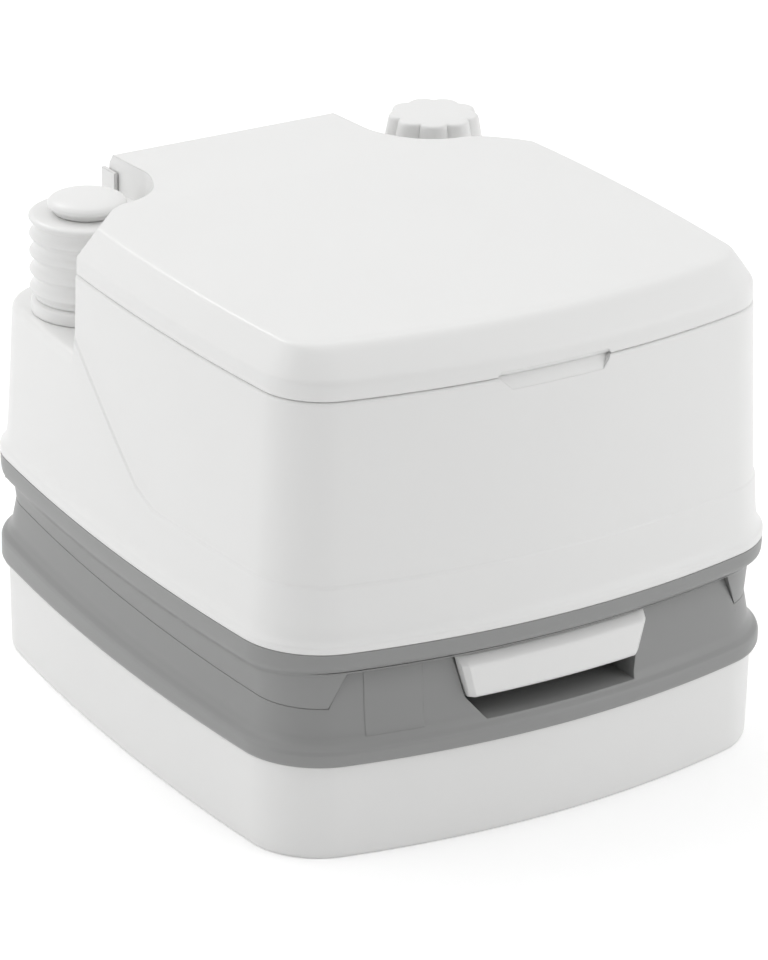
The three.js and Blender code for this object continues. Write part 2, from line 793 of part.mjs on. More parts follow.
// ---------- seat and lid ----------
// Upright band, flat bevel, flat top.
function lidBlock(shrink) {
  return outlineLoft(
    [
      [LID_BOTTOM - (shrink ? 1 : 0), TOP_INSET + shrink],
      [307 - shrink / 2, TOP_INSET + 0.5 + shrink],
      [313 - shrink, TOP_INSET + 4.5 + shrink],
      [320 - shrink, TOP_INSET + 9.3 + shrink],
      [324.8 - shrink, TOP_INSET + 12.9 + shrink],
      [LID_TOP - shrink, TOP_INSET + 16.3 + shrink],
    ],
    80,
  );
}

const TAIL_BEVEL_Y = 193.5;
const TAIL_BEVEL_END = new THREE.Vector2(210, 298.2);

// Everything above the top line, which falls towards the tail and drops steeply at its end.
function tailSlope(drop) {
  return crossPrism(
    [
      new THREE.Vector2(90, LID_TOP - drop),
      new THREE.Vector2(TAIL_BEVEL_Y - drop / 2, TAIL_TOP - drop),
      new THREE.Vector2(TAIL_BEVEL_END.x - drop, TAIL_BEVEL_END.y - drop / 3),
      new THREE.Vector2(REAR, TAIL_BEVEL_END.y - drop / 3),
      new THREE.Vector2(REAR, 360),
      new THREE.Vector2(90, 360),
    ],
    -220,
    220,
  );
}

const LID_WALL = 2.6;

function lidShell() {
  const outer = cut(
    lidBlock(0).intersect(prism(lidPlan(0), LID_BOTTOM, 340)),
    tailSlope(0),
    box(-40, 40, -REAR, -196, LID_BOTTOM - 1, 299.5),
  );
  const inner = cut(
    lidBlock(LID_WALL).intersect(prism(lidPlan(LID_WALL), LID_BOTTOM - 2, 340)),
    tailSlope(LID_WALL),
  );
  const bosses = [-1, 1].map((side) => sideRod(side, 6, 70.2, TAIL_HALF - 1.5));
  const bores = [-1, 1].map((side) => sideRod(side, PIN_BORE, 60, TAIL_HALF + 1));
  const rearLift = box(-90, 90, HINGE_Y + 6, REAR, LID_BOTTOM - 2, HINGE_Z);
  return cut(join(cut(outer, inner), ...bosses), ...bores, rearLift);
}

// A rod on the hinge line between two distances from the middle, on the side given.
function sideRod(side, radius, near, far) {
  const [x0, x1] = side > 0 ? [near, far] : [-far, -near];
  return crossRod(radius, x0, x1, HINGE_Y, HINGE_Z);
}

function pinRod(side, radius) {
  return sideRod(side, radius, 61, CHEEK_OUT - 2);
}

const SEAT_BOTTOM = 299;
const SEAT_TOP = 316;
const SEAT_SIDE = 5;
const SEAT_OPENING = [
  [SEAT_BOTTOM - 1, 104, 130, -35],
  [305, 102, 128, -35],
  [SEAT_TOP - 3, 106, 132, -35],
  [SEAT_TOP + 1, 113, 139, -35],
];
const SEAT_REAR_Y = 177;
const BUMPERS = { seat: [145, -90], lid: [128, -100] };

function seatRing() {
  const edge = outlineLoft(
    [
      [SEAT_BOTTOM, TOP_INSET + SEAT_SIDE],
      [305, TOP_INSET + SEAT_SIDE],
      [SEAT_TOP - 3, TOP_INSET + SEAT_SIDE + 6.5],
      [SEAT_TOP, TOP_INSET + SEAT_SIDE + 11],
    ],
    80,
  );
  const plan = prism(lidPlan(SEAT_SIDE), SEAT_BOTTOM - 1, SEAT_TOP + 1);
  const front = box(-220, 220, -REAR, SEAT_REAR_Y, SEAT_BOTTOM - 2, SEAT_TOP + 2);
  const outer = edge.intersect(plan).intersect(front);
  const under = outlineLoft(
    [
      [SEAT_BOTTOM - 2, TOP_INSET + SEAT_SIDE + 3],
      [305, TOP_INSET + SEAT_SIDE + 3],
      [SEAT_TOP - 5, TOP_INSET + SEAT_SIDE + 9],
    ],
    80,
  )
    .intersect(prism(lidPlan(SEAT_SIDE + 3), SEAT_BOTTOM - 2, SEAT_TOP))
    .intersect(box(-220, 220, -REAR, SEAT_REAR_Y - 3, SEAT_BOTTOM - 3, SEAT_TOP));
  const lip = ellipseLoft(SEAT_OPENING, 5);
  const bosses = [-1, 1].map((side) =>
    disc({ x: side * BUMPERS.seat[0], y: BUMPERS.seat[1] }, 8, SEAT_BOTTOM, SEAT_TOP - 4, 16),
  );
  const arms = [-1, 1].map((side) => {
    const x = side > 0 ? [60.3, 69.8] : [-69.8, -60.3];
    return box(x[0], x[1], SEAT_REAR_Y - 2, HINGE_Y, HINGE_Z - 5, HINGE_Z + 5);
  });
  const knuckles = [-1, 1].map((side) => sideRod(side, 6, 60.3, 69.8));
  const bores = [-1, 1].map((side) => sideRod(side, PIN_BORE, 58, 72));
  return cut(
    join(cut(outer, cut(under, lip, ...bosses)), ...arms, ...knuckles),
    ellipseLoft(SEAT_OPENING), ...bores,
  );
}

// ---------- filler cap ----------
const CAP_LOBES = 9;
const CAP_FLUTE = THREE.MathUtils.degToRad(57.5);

function capRing(mean, depth) {
  const steps = CAP_LOBES * 4;
  return Array.from({ length: steps }, (_, i) => {
    const angle = CAP_FLUTE + (i / steps) * 2 * Math.PI;
    const reach = mean - depth * Math.cos(CAP_LOBES * (angle - CAP_FLUTE));
    return new THREE.Vector2(
      FILLER.x + reach * Math.cos(angle), FILLER.y + reach * Math.sin(angle),
    );
  });
}

function fillerCap() {
  const body = loft([
    { z: 297, ring: capRing(33.4, 1) },
    { z: 306, ring: capRing(32.4, 1.3) },
    { z: 325, ring: capRing(28.4, 2) },
    { z: 329, ring: capRing(27.2, 2) },
    { z: CAP_TOP, ring: capRing(25.6, 1.8) },
  ]);
  return cut(body, disc(FILLER, 21.5, 296, 314.6));
}

// ---------- release latch at the rear ----------
const LATCH_PLATE_Y = 206.2;
const LATCH_X = -122;
const LATCH_TOP = 117;

function stud(radius, y0, y1) {
  const geometry = new THREE.CylinderGeometry(radius, radius, y1 - y0, 12);
  return solidOf(geometry.translate(LATCH_X, (y0 + y1) / 2, 112));
}

function latchStud() {
  return join(stud(2.3, 198, 211), stud(4.2, 210.6, 212.2), stud(4.2, 196, 198.2));
}

function releaseLatch() {
  const y1 = LATCH_PLATE_Y + 4;
  const left = LATCH_X - 22;
  const plate = box(left, LATCH_X - 6, LATCH_PLATE_Y, y1, 94, LATCH_TOP);
  const arm = box(left, LATCH_X + 20, LATCH_PLATE_Y, y1, 106.5, LATCH_TOP);
  const foot = box(left, LATCH_X + 10.8, LATCH_PLATE_Y, y1, 94, 97);
  const grip = box(left, left + 4, y1 - 1, y1 + 3, 98, LATCH_TOP - 3);
  const slot = join(
    box(LATCH_X, LATCH_X + 15.5, 200, 215, 109.3, 114.7),
    stud(2.7, 200, 215),
  );
  return cut(join(plate, arm, foot, grip), slot);
}

function latchSpring() {
  return join(
    box(LATCH_X - 36, LATCH_X - 35, LATCH_PLATE_Y - 0.3, 209, 106, LATCH_TOP - 1),
    box(LATCH_X - 36, LATCH_X - 34.6, LATCH_PLATE_Y - 2, LATCH_PLATE_Y, 106, LATCH_TOP - 1),
  );
}

// ---------- the assembly ----------
const toilet = new THREE.Group();

function section(name) {
  const group = new THREE.Group();
  group.name = name;
  toilet.add(group);
  return (pieceName, solid, material) => {
    const mesh = new THREE.Mesh(geometryOf(solid), material);
    mesh.name = pieceName;
    group.add(mesh);
    return mesh;
  };
}

const waste = section("waste_section");
waste("waste_tank_base", wasteTankBase(), WHITE);
waste("waste_tank_top", wasteTankTop(), GREY);
waste("valve_frame", valveFrame(), DARK);
waste("valve_lip_seal", valveLipSeal(), RUBBER);
SCREWS.forEach((at, i) => waste("valve_screw_" + (i + 1), valveScrew(at), STEEL));
waste("valve_blade", valveBlade(), DARK);
waste("valve_handle", valveHandle(), WHITE);
waste("vent_button", ventButton(), DARK);
waste("vent_seal", ringDisc(VENT, 8, 3.2, 91.4, 93.6, 16), RUBBER);
waste("vent_spring", coil(VENT, 6, 0.6, 98.2, 103, 3), STEEL);
waste("spout_elbow", spoutElbow(), GREY);
waste("spout_seal", spoutSeal(), RUBBER);
waste("spout_cap", spoutCap(), DARK);
waste("spout_cap_seal", spoutCapSeal(), RUBBER);

const flush = section("flush_section");
flush("flush_tank_floor", flushTankFloor(), GREY);
flush("upper_shell", upperShell(), WHITE);
flush("toilet_bowl", toiletBowl(), WHITE);
flush("bowl_outlet_seal", bowlOutletSeal(), RUBBER);
flush("flush_nozzle", flushNozzle(), WHITE);
flush("flush_hose", flushHose(), GREY);
flush("pump_body", pumpBody(), WHITE);
flush("pump_bellows", bellows(), WHITE);
flush("pump_button", pumpButton(), WHITE);
flush("pump_check_ball", checkBall(), STEEL);
flush("suction_tube", suctionTube(), GREY);
flush("suction_strainer", suctionStrainer(), GREY);
flush("filler_cap", fillerCap(), WHITE);
flush("filler_cap_seal", ringDisc(FILLER, 20.8, 15, 312.3, 314.3), RUBBER);
flush("latch_stud", latchStud(), STEEL);
flush("release_latch", releaseLatch(), DARK);
flush("latch_spring", latchSpring(), STEEL);
["left", "right"].forEach((name, i) => {
  flush("hinge_pin_" + name, pinRod(i ? 1 : -1, PIN_RADIUS), STEEL);
});

const cover = section("seat_and_lid");
cover("seat", seatRing(), WHITE);
cover("lid", lidShell(), WHITE);
["left", "right"].forEach((name, i) => {
  const side = i ? 1 : -1;
  const [seatX, seatY] = BUMPERS.seat;
  const [lidX, lidY] = BUMPERS.lid;
  cover("seat_bumper_" + name, disc({ x: side * seatX, y: seatY }, 6, 296, 298.7, 16), RUBBER);
  cover("lid_bumper_" + name, disc({ x: side * lidX, y: lidY }, 5, 316.3, 323.3, 16), RUBBER);
});

export default toilet;
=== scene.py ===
"""Camp toilet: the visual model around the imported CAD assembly, its studio and its camera.

Shapes are drawn in millimetres and scaled to metres when a mesh is made.
"""

import json
import math

import bpy
from mathutils import Matrix, Vector


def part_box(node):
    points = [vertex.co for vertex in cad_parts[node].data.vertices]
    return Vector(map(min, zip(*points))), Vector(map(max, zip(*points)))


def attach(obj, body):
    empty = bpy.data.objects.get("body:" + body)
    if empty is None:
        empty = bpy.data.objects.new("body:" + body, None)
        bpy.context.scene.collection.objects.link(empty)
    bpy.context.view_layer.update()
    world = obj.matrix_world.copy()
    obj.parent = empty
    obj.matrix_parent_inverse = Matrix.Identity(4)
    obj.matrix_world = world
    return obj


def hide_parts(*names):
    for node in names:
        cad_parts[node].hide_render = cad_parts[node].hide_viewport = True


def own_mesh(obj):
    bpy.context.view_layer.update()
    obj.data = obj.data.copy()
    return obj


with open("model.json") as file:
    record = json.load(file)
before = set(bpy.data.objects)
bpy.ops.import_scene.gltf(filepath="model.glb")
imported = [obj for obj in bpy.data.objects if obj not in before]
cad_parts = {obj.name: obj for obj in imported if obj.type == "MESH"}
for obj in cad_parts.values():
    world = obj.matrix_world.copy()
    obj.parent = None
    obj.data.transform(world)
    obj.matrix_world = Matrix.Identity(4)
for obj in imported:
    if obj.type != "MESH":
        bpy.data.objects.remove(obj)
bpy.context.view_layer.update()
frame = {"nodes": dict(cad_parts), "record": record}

MM = 0.001
PI = math.pi
NODES = frame["nodes"]


def low(node):
    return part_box(node)[0] / MM


def high(node):
    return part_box(node)[1] / MM


# ---------- sizes, in millimetres ----------
WIDTH = 383.0
DEPTH = high("waste_tank_top").y - low("waste_tank_top").y
FRONT_RADIUS = 620.0
SIDE_RADIUS = 1550.0
SIDE_MID_Y = -23.0
REAR_RADIUS = 9000.0
FRONT_CORNER = 56.0
REAR_CORNER = 53.0
ARC_STEPS = (14, 18, 14, 14, 6)

BASE_TOP = high("waste_tank_base").z
DECK_TOP = 97.0
SEAM = low("flush_tank_floor").z - 0.3
FLOOR_UNDER = 122.0
FLOOR_TOP = 124.6
BAND_TOP = high("flush_tank_floor").z
SHELL_BOTTOM = low("upper_shell").z
RIDGE = 180.0
SHELF = low("pump_bellows").z - 10.4
SHELL_TOP = 295.6
LID_BOTTOM = 296.3
LID_TOP = high("lid").z
TOP_INSET = 12.7
WAIST_INSET = 10.2
WALL = 3.0
GAP = 0.3

PANEL_TOP = 121.6
PANEL_HALF_TOP = 138.7
PANEL_HALF_LOW = 151.0
POCKET_BOTTOM = 77.5
POCKET_BACK_Y = -172.0
REAR = 230.0

OUTLET = (0.0, 5.0)
PUMP = (-130.3, 143.4)
FILLER = (130.3, 143.4)
NOTCH_RADIUS = 42.0
HINGE_Y = 190.0
HINGE_Z = 306.0
TAIL_HALF = 83.6
TAIL_ROOT_Y = 156.0
TAIL_END_Y = 200.6
CHEEK_IN = 84.2
CHEEK_OUT = 86.8
CHEEK_FRONT_Y = 186.0
CHEEK_REAR_Y = 202.5
CHEEK_TOP = 312.0
LID_SIDE = WIDTH / 2 - TOP_INSET - 2.2
SHOULDER_ROUND = 4.0
SHOULDER_TURN = 1.076
SLANT_NORMAL = (math.cos(SHOULDER_TURN), math.sin(SHOULDER_TURN))
SLANT_REACH = 150.0
NOTCH_FRONT_Y = 64.0
NOTCH_GAP = 0.8
FINGER_LEFT = -44.3
FINGER_RIGHT = 38.7
FINGER_KEEP = 4.0
STEP_DEPTH = 1.0
STEP_HIGHEST = 289.0
LID_WALL = 2.6
PIN_BORE = 2.5
PIN_RADIUS = 2.4
ARM_NEAR_X = 60.3
ARM_FAR_X = 69.8
KNUCKLE_RADIUS = 6.0
BEYOND_OUTLINE = 80.0
SHARP_ANGLE = math.radians(30)

# ---------- camera ----------
CAMERA_AZIMUTH = math.radians(-32.4685)
CAMERA_ELEVATION = math.radians(23.2733)
CAMERA_ROLL = math.radians(0.8826)
CAMERA_DISTANCE = 3.14208
CAMERA_TARGET = Vector((-0.00742, -0.01905, 0.15604))
CAMERA_LENS = 186.04
CAMERA_BACK = Vector((
    math.sin(CAMERA_AZIMUTH) * math.cos(CAMERA_ELEVATION),
    -math.cos(CAMERA_AZIMUTH) * math.cos(CAMERA_ELEVATION),
    math.sin(CAMERA_ELEVATION),
))


# ---------- materials ----------
def noise(tree, place, scale, detail):
    node = tree.nodes.new("ShaderNodeTexNoise")
    node.inputs["Scale"].default_value = scale
    node.inputs["Detail"].default_value = detail
    tree.links.new(place.outputs["Object"], node.inputs["Vector"])
    return node


def between(tree, source, low_value, high_value):
    node = tree.nodes.new("ShaderNodeMapRange")
    node.inputs["To Min"].default_value = low_value
    node.inputs["To Max"].default_value = high_value
    tree.links.new(source, node.inputs["Value"])
    return node.outputs["Result"]


def surface(name, base, rough, mottle, grain_height, edge=1.0, metallic=0.0, patch=14.0):
    """A moulded or drawn surface: uneven tint and shine, a fine grain and softened edges."""
    mat = bpy.data.materials.new(name)
    mat.use_nodes = True
    tree = mat.node_tree
    shader = tree.nodes["Principled BSDF"]
    place = tree.nodes.new("ShaderNodeTexCoord")
    wide = noise(tree, place, patch, 4.0)
    fine = noise(tree, place, 1400.0, 2.0)
    tint = between(tree, wide.outputs["Fac"], 1.0 - mottle, 1.0 + mottle)
    colour = tree.nodes.new("ShaderNodeVectorMath")
    colour.operation = "SCALE"
    colour.inputs[0].default_value = base
    tree.links.new(tint, colour.inputs["Scale"])
    tree.links.new(colour.outputs["Vector"], shader.inputs["Base Color"])
    shine = between(tree, wide.outputs["Fac"], rough - 0.05, rough + 0.05)
    tree.links.new(shine, shader.inputs["Roughness"])
    rounding = tree.nodes.new("ShaderNodeBevel")
    rounding.samples = 4
    rounding.inputs["Radius"].default_value = edge * MM
    grain = tree.nodes.new("ShaderNodeBump")
    grain.inputs["Strength"].default_value = grain_height
    grain.inputs["Distance"].default_value = 0.0001
    tree.links.new(fine.outputs["Fac"], grain.inputs["Height"])
    tree.links.new(rounding.outputs["Normal"], grain.inputs["Normal"])
    tree.links.new(grain.outputs["Normal"], shader.inputs["Normal"])
    shader.inputs["Metallic"].default_value = metallic
    shader.inputs["IOR"].default_value = 1.46
    return mat


SLOT_MATERIALS = {
    "white_plastic": surface("white_moulded_plastic", (0.81, 0.81, 0.803), 0.33, 0.008, 0.08, 1.3),
    "grey_plastic": surface("grey_moulded_plastic", (0.285, 0.287, 0.285), 0.36, 0.02, 0.12),
    "dark_plastic": surface("dark_moulded_plastic", (0.05, 0.052, 0.055), 0.5, 0.05, 0.2),
    "rubber": surface("black_rubber", (0.02, 0.02, 0.021), 0.75, 0.1, 0.3, edge=0.4),
    "steel": surface("drawn_steel", (0.56, 0.565, 0.57), 0.3, 0.04, 0.05, edge=0.3, metallic=1.0),
}
SLOT_OF = {row["node"]: row["material_slot"] for row in frame["record"]["subparts"]}


def dress(obj, slot):
    """Gives a piece its slot's surface, smooth skins and crisp edges."""
    obj.data.materials.clear()
    obj.data.materials.append(SLOT_MATERIALS[slot])
    for face in obj.data.polygons:
        face.use_smooth = True
    obj.data.set_sharp_from_angle(angle=SHARP_ANGLE)


# ---------- building solids ----------
def solid(verts, faces, name="work"):
    mesh = bpy.data.meshes.new(name)
    mesh.from_pydata([(x * MM, y * MM, z * MM) for x, y, z in verts], [], faces)
    obj = bpy.data.objects.new(name, mesh)
    bpy.context.scene.collection.objects.link(obj)
    return obj


def stack(rings):
    """A closed solid through rings of equal length, lowest first, counter-clockwise from above."""
    count = len(rings[0])
    verts = [point for ring in rings for point in ring]
    faces = [tuple(reversed(range(count)))]
    for k in range(len(rings) - 1):
        for i in range(count):
            after = (i + 1) % count
            lower = k * count
            upper = lower + count
            faces.append((lower + i, lower + after, upper + after, upper + i))
    last = (len(rings) - 1) * count
    faces.append(tuple(range(last, last + count)))
    return solid(verts, faces)


def swept(rings):
    """A closed solid through rings of equal length, each counter-clockwise as seen along the sweep."""
    count = len(rings[0])
    verts = [point for ring in rings for point in ring]
    last = (len(rings) - 1) * count
    faces = [tuple(range(count)), tuple(reversed(range(last, last + count)))]
    for k in range(len(rings) - 1):
        for i in range(count):
            after = (i + 1) % count
            a = k * count
            b = a + count
            faces.append((a + i, b + i, b + after, a + after))
    return solid(verts, faces)


def combine(target, others, how):
    for other in others:
        shape = target.modifiers.new("shape", "BOOLEAN")
        shape.operation = how
        shape.solver = "MANIFOLD"
        shape.object = other
    graph = bpy.context.evaluated_depsgraph_get()
    made = bpy.data.meshes.new_from_object(target.evaluated_get(graph))
    target.modifiers.clear()
    target.data = made
    for other in others:
        bpy.data.objects.remove(other, do_unlink=True)
    return target


def cut(target, *others):
    return combine(target, others, "DIFFERENCE")


def join(target, *others):
    return combine(target, others, "UNION")


def overlap(target, *others):
    return combine(target, others, "INTERSECT")


def extrude(section, near, far, place):
    """A prism: section points are pairs, place turns (a, b, along) into x, y, z."""
    count = len(section)
    verts = [place(a, b, near) for a, b in section] + [place(a, b, far) for a, b in section]
    faces = [tuple(reversed(range(count))), tuple(range(count, 2 * count))]
    for i in range(count):
        after = (i + 1) % count
        faces.append((i, after, after + count, i + count))
    return solid(verts, faces)


def block(x0, x1, y0, y1, z0, z1):
    corners = [(x0, y0), (x1, y0), (x1, y1), (x0, y1)]
    return extrude(corners, z0, z1, lambda a, b, z: (a, b, z))


def span(side, near, far):
    """The two x limits of what lies between near and far on a side, -1 or 1, lower one first."""
    return sorted((side * near, side * far))


def prism(section, z0, z1):
    return extrude(section, z0, z1, lambda a, b, z: (a, b, z))


def cross_prism(section, x0, x1):
    """The section is drawn in y and z, counter-clockwise as seen from +X."""
    return extrude(section, x0, x1, lambda a, b, x: (x, a, b))


def deep_prism(section, y0, y1):
    """The section is drawn in x and z, counter-clockwise as seen from -Y."""
    return extrude(section, y1, y0, lambda a, b, y: (a, y, b))


def circle(centre, radius, steps=72):
    turn = [2 * PI * i / steps for i in range(steps)]
    return [(centre[0] + radius * math.cos(a), centre[1] + radius * math.sin(a)) for a in turn]


def disc(centre, radius, z0, z1, steps=72):
    return prism(circle(centre, radius, steps), z0, z1)


def rod(radius, x0, x1, y, z, steps=48):
    return cross_prism(circle((y, z), radius, steps), x0, x1)


def softened(levels, steps=4):
    """A profile of (z, reach) or (z, reach, rounding), its rounded corners filled with short steps."""
    out = []
    for i, level in enumerate(levels):
        here = Vector((level[1], level[0]))
        rounding = level[2] if len(level) > 2 else 0.0
        if not rounding or i in (0, len(levels) - 1):
            out.append((here.y, here.x))
            continue
        before = Vector((levels[i - 1][1], levels[i - 1][0])) - here
        after = Vector((levels[i + 1][1], levels[i + 1][0])) - here
        start = here + before.normalized() * min(rounding, before.length * 0.46)
        end = here + after.normalized() * min(rounding, after.length * 0.46)
        for s in range(steps + 1):
            t = s / steps
            point = start.lerp(here, t).lerp(here.lerp(end, t), t)
            out.append((point.y, point.x))
    return out


def turned(profile, centre, steps=72):
    """A turned piece: profile levels are (height, radius, rounding), bottom to top."""
    return stack([[(x, y, z) for x, y in circle(centre, r, steps)] for z, r in softened(profile)])


# ---------- plan outline ----------
def circles_meet(a, radius_a, b, radius_b, score):
    apart = (b - a).length
    along = (radius_a ** 2 - radius_b ** 2 + apart ** 2) / (2 * apart)
    off = math.sqrt(radius_a ** 2 - along ** 2)
    unit = (b - a) / apart
    normal = Vector((-unit.y, unit.x))
    foot = a + unit * along
    return max((foot + normal * off, foot - normal * off), key=score)


class Station:
    """One column of the outline: where it is at any inset, and which way it faces."""

    def __init__(self, centre, radius, angle, side):
        self.centre = centre
        self.radius = radius
        self.angle = angle
        self.side = side
        self.facing = Vector((side * math.cos(angle), math.sin(angle)))

    def at(self, inset):
        reach = self.radius - inset
        x = self.centre.x + reach * math.cos(self.angle)
        y = self.centre.y + reach * math.sin(self.angle)
        return (self.side * x, y)


def stations(rear_extra=0.0):
    """Columns round the outline, counter-clockwise from above, from the middle of the front."""
    front = Vector((0.0, -DEPTH / 2 + FRONT_RADIUS))
    side = Vector((WIDTH / 2 - SIDE_RADIUS, SIDE_MID_Y))
    rear = Vector((0.0, DEPTH / 2 + rear_extra - REAR_RADIUS))
    front_corner = circles_meet(
        side, SIDE_RADIUS - FRONT_CORNER, front, FRONT_RADIUS - FRONT_CORNER, lambda p: p.x - p.y)
    rear_corner = circles_meet(
        side, SIDE_RADIUS - REAR_CORNER, rear, REAR_RADIUS - REAR_CORNER, lambda p: p.x + p.y)

    def bearing(start, end):
        return math.atan2(end.y - start.y, end.x - start.x)

    turns = [-PI / 2, bearing(front, front_corner), bearing(side, front_corner),
             bearing(side, rear_corner), bearing(rear, rear_corner), PI / 2]
    centres = [front, front_corner, side, rear_corner, rear]
    radii = [FRONT_RADIUS, FRONT_CORNER, SIDE_RADIUS, REAR_CORNER, REAR_RADIUS]
    half = []
    for centre, radius, steps, start, end in zip(centres, radii, ARC_STEPS, turns, turns[1:]):
        for i in range(1 if half else 0, steps + 1):
            half.append(Station(centre, radius, start + (end - start) * i / steps, 1))
    left = [Station(s.centre, s.radius, s.angle, -1) for s in reversed(half[1:-1])]
    return half + left


def shell_loft(levels, rear_extra=0.0):
    """A solid on the outline. Levels are (z, inset, rounding), or a function of the station."""
    columns = []
    around = stations(rear_extra)
    for station in around:
        profile = softened(levels(station) if callable(levels) else levels)
        columns.append([(*station.at(inset), z) for z, inset in profile])
    return stack([[column[k] for column in columns] for k in range(len(columns[0]))])


def ellipse_loft(levels, grow=0.0, steps=96):
    """Levels are height, half width, half depth and middle y."""
    rings = []
    for z, a, b, middle in levels:
        turn = [2 * PI * i / steps for i in range(steps)]
        rings.append([
            ((a + grow) * math.cos(t), middle + (b + grow) * math.sin(t), z) for t in turn])
    return stack(rings)


def slanted_panel(half_top, half_low, z_top, z_low, y0, y1):
    section = [(-half_low, z_low), (half_low, z_low), (half_top, z_top), (-half_top, z_top)]
    return deep_prism(section, y0, y1)


def arc(centre, radius, start, end, steps):
    """Points on an arc, both ends included."""
    turn = [start + (end - start) * i / steps for i in range(steps + 1)]
    return [(centre[0] + radius * math.cos(a), centre[1] + radius * math.sin(a)) for a in turn]


def shoulder(flank_x, inset):
    """The flank at flank_x turns in to the slanted wall: an arc, or a corner under a large inset."""
    rounding = SHOULDER_ROUND - max(inset, 0.0)
    reach = SLANT_REACH - inset
    if rounding <= 0.2:
        return [(flank_x, (reach - SLANT_NORMAL[0] * flank_x) / SLANT_NORMAL[1])]
    x = flank_x - rounding
    y = (reach - rounding - SLANT_NORMAL[0] * x) / SLANT_NORMAL[1]
    return arc((x, y), rounding, 0.0, SHOULDER_TURN, 8)


def notch_edge(inset, soft=5.0):
    """A soft corner at the end of the slanted wall, then the arc round the filler."""
    radius = NOTCH_RADIUS + inset
    apart = SLANT_NORMAL[0] * FILLER[0] + SLANT_NORMAL[1] * FILLER[1] - SLANT_REACH + inset
    middle = (apart + soft) / (radius + soft)
    start = SHOULDER_TURN - PI + math.acos(middle)
    x = FILLER[0] + (radius + soft) * math.cos(start)
    y = FILLER[1] + (radius + soft) * math.sin(start)
    corner = arc((x, y), soft, SHOULDER_TURN, start + PI, 5)
    bend = arc(FILLER, radius, start, math.radians(-150), 18)
    leave = Vector(bend[-1])
    tail_x = TAIL_HALF - inset
    meet = Vector((tail_x, leave.y + (leave.x - tail_x) * math.sqrt(3.0)))
    root = Vector((tail_x, TAIL_ROOT_Y - 2.0))
    run_out = [leave.lerp(meet, t / 8).lerp(meet.lerp(root, t / 8), t / 8) for t in range(1, 9)]
    return corner + bend + [tuple(point) for point in run_out]


def both_sides(half):
    """A closed outline from its right half, which starts and ends on the middle line."""
    return half + [(-x, y) for x, y in reversed(half[1:-1])]


def lid_plan(inset):
    """Outline in front, a shoulder, a notch round pump or filler and the tail between them."""
    half = [s.at(TOP_INSET + inset) for s in stations(BEYOND_OUTLINE) if s.side > 0]
    half = [p for p in half if p[0] >= -0.001 and p[1] < 40]
    half[0] = (0.0, half[0][1])
    half += shoulder(LID_SIDE - inset, inset)
    half += notch_edge(inset)
    rounding = 3.0
    corner = (TAIL_HALF - inset - rounding, TAIL_END_Y - inset - rounding)
    half += arc(corner, rounding, 0.0, PI / 2, 6)
    half.append((0.0, TAIL_END_Y - inset))
    return both_sides(half)


def finish_piece(obj, name, slot, body, nodes):
    obj.name = name
    obj.data.name = name
    dress(obj, slot)
    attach(obj, body)
    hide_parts(*nodes)
    return obj


# ---------- waste section ----------
RECESS = (-64.0, 130.0, 120.0, 69.5)
SPOUT = (95.0, 152.0, 95.0)
VENT = (112.0, 62.0)


def build_base():
    outer = shell_loft([
        (0, 7.8), (0.2, 6.8, 0.6), (2.4, 5.7, 1.5), (20, 5.4, 4), (BASE_TOP - 1.5, 4.8),
        (BASE_TOP - 1.2, 1.3, 0.2), (BASE_TOP, 1.2)])
    inner = shell_loft([(WALL, 9.2), (BASE_TOP + 1, 7.3)])
    finish_piece(cut(outer, inner), "base_tank_skin", "white_plastic", "waste_section",
                 ["waste_tank_base"])


def pocket_volume(grow):
    """The finger pocket: as wide as the handle at the top, and narrower under it."""
    top_z = PANEL_TOP + 6
    waist_z = 93.0
    low_z = POCKET_BOTTOM - grow
    section = [
        (-50.0 - grow, low_z), (59.0 + grow, low_z), (62.8 + grow, waist_z),
        (71.6 + grow, top_z), (-71.6 - grow, top_z), (-62.8 - grow, waist_z)]
    return deep_prism(section, -REAR, POCKET_BACK_Y + grow)


def recess_volume(grow):
    x0, x1, y0, z0 = RECESS
    return block(x0 - grow, x1 + grow, y0 - grow, REAR, z0 - grow, SEAM + 5)


# the waist and its parting line rise a little towards the rear
TILT = 0.0172
SEAM_MIDDLE = 101.8
RIM_CREST = 75.8
WAIST_ROWS = [
    (RIM_CREST - 0.4, 0.0, 0.8), (RIM_CREST + 1.8, 0.9, 0.8), (RIM_CREST + 4.2, 4.0, 1.2),
    (RIM_CREST + 8.6, 7.0, 2.0),
]


def tilted(station, rows):
    """Rows of (height at the middle, inset, rounding), tilted with the waist."""
    return [(z + TILT * station.at(inset)[1], inset, rounding) for z, inset, rounding in rows]


def panel_loft(grow):
    """The waist's own profile carried on up to the top of the front panel, moved out by grow."""
    def levels(station):
        low_rows = tilted(station, WAIST_ROWS + [(SEAM_MIDDLE, WAIST_INSET, 4.0)])
        rows = low_rows + [(112.0, 11.8, 4.0), (PANEL_TOP + min(grow, 0.0), 13.5, 0.0)]
        return [(z, inset - grow, rounding) for z, inset, rounding in rows]
    return shell_loft(levels)


def front_panel(shrink):
    slant = slanted_panel(
        PANEL_HALF_TOP - shrink, PANEL_HALF_LOW - shrink, PANEL_TOP + 1, 94.0,
        -REAR, POCKET_BACK_Y + WALL - shrink)
    return overlap(panel_loft(-shrink), slant)


def label_pad():
    """A faint raised field at the left of the front panel."""
    section = [(-128.5, 80.0), (-91, 80.0), (-89.5, PANEL_TOP - 0.6), (-127, PANEL_TOP - 0.6)]
    return overlap(panel_loft(0.35), deep_prism(section, -REAR, POCKET_BACK_Y))


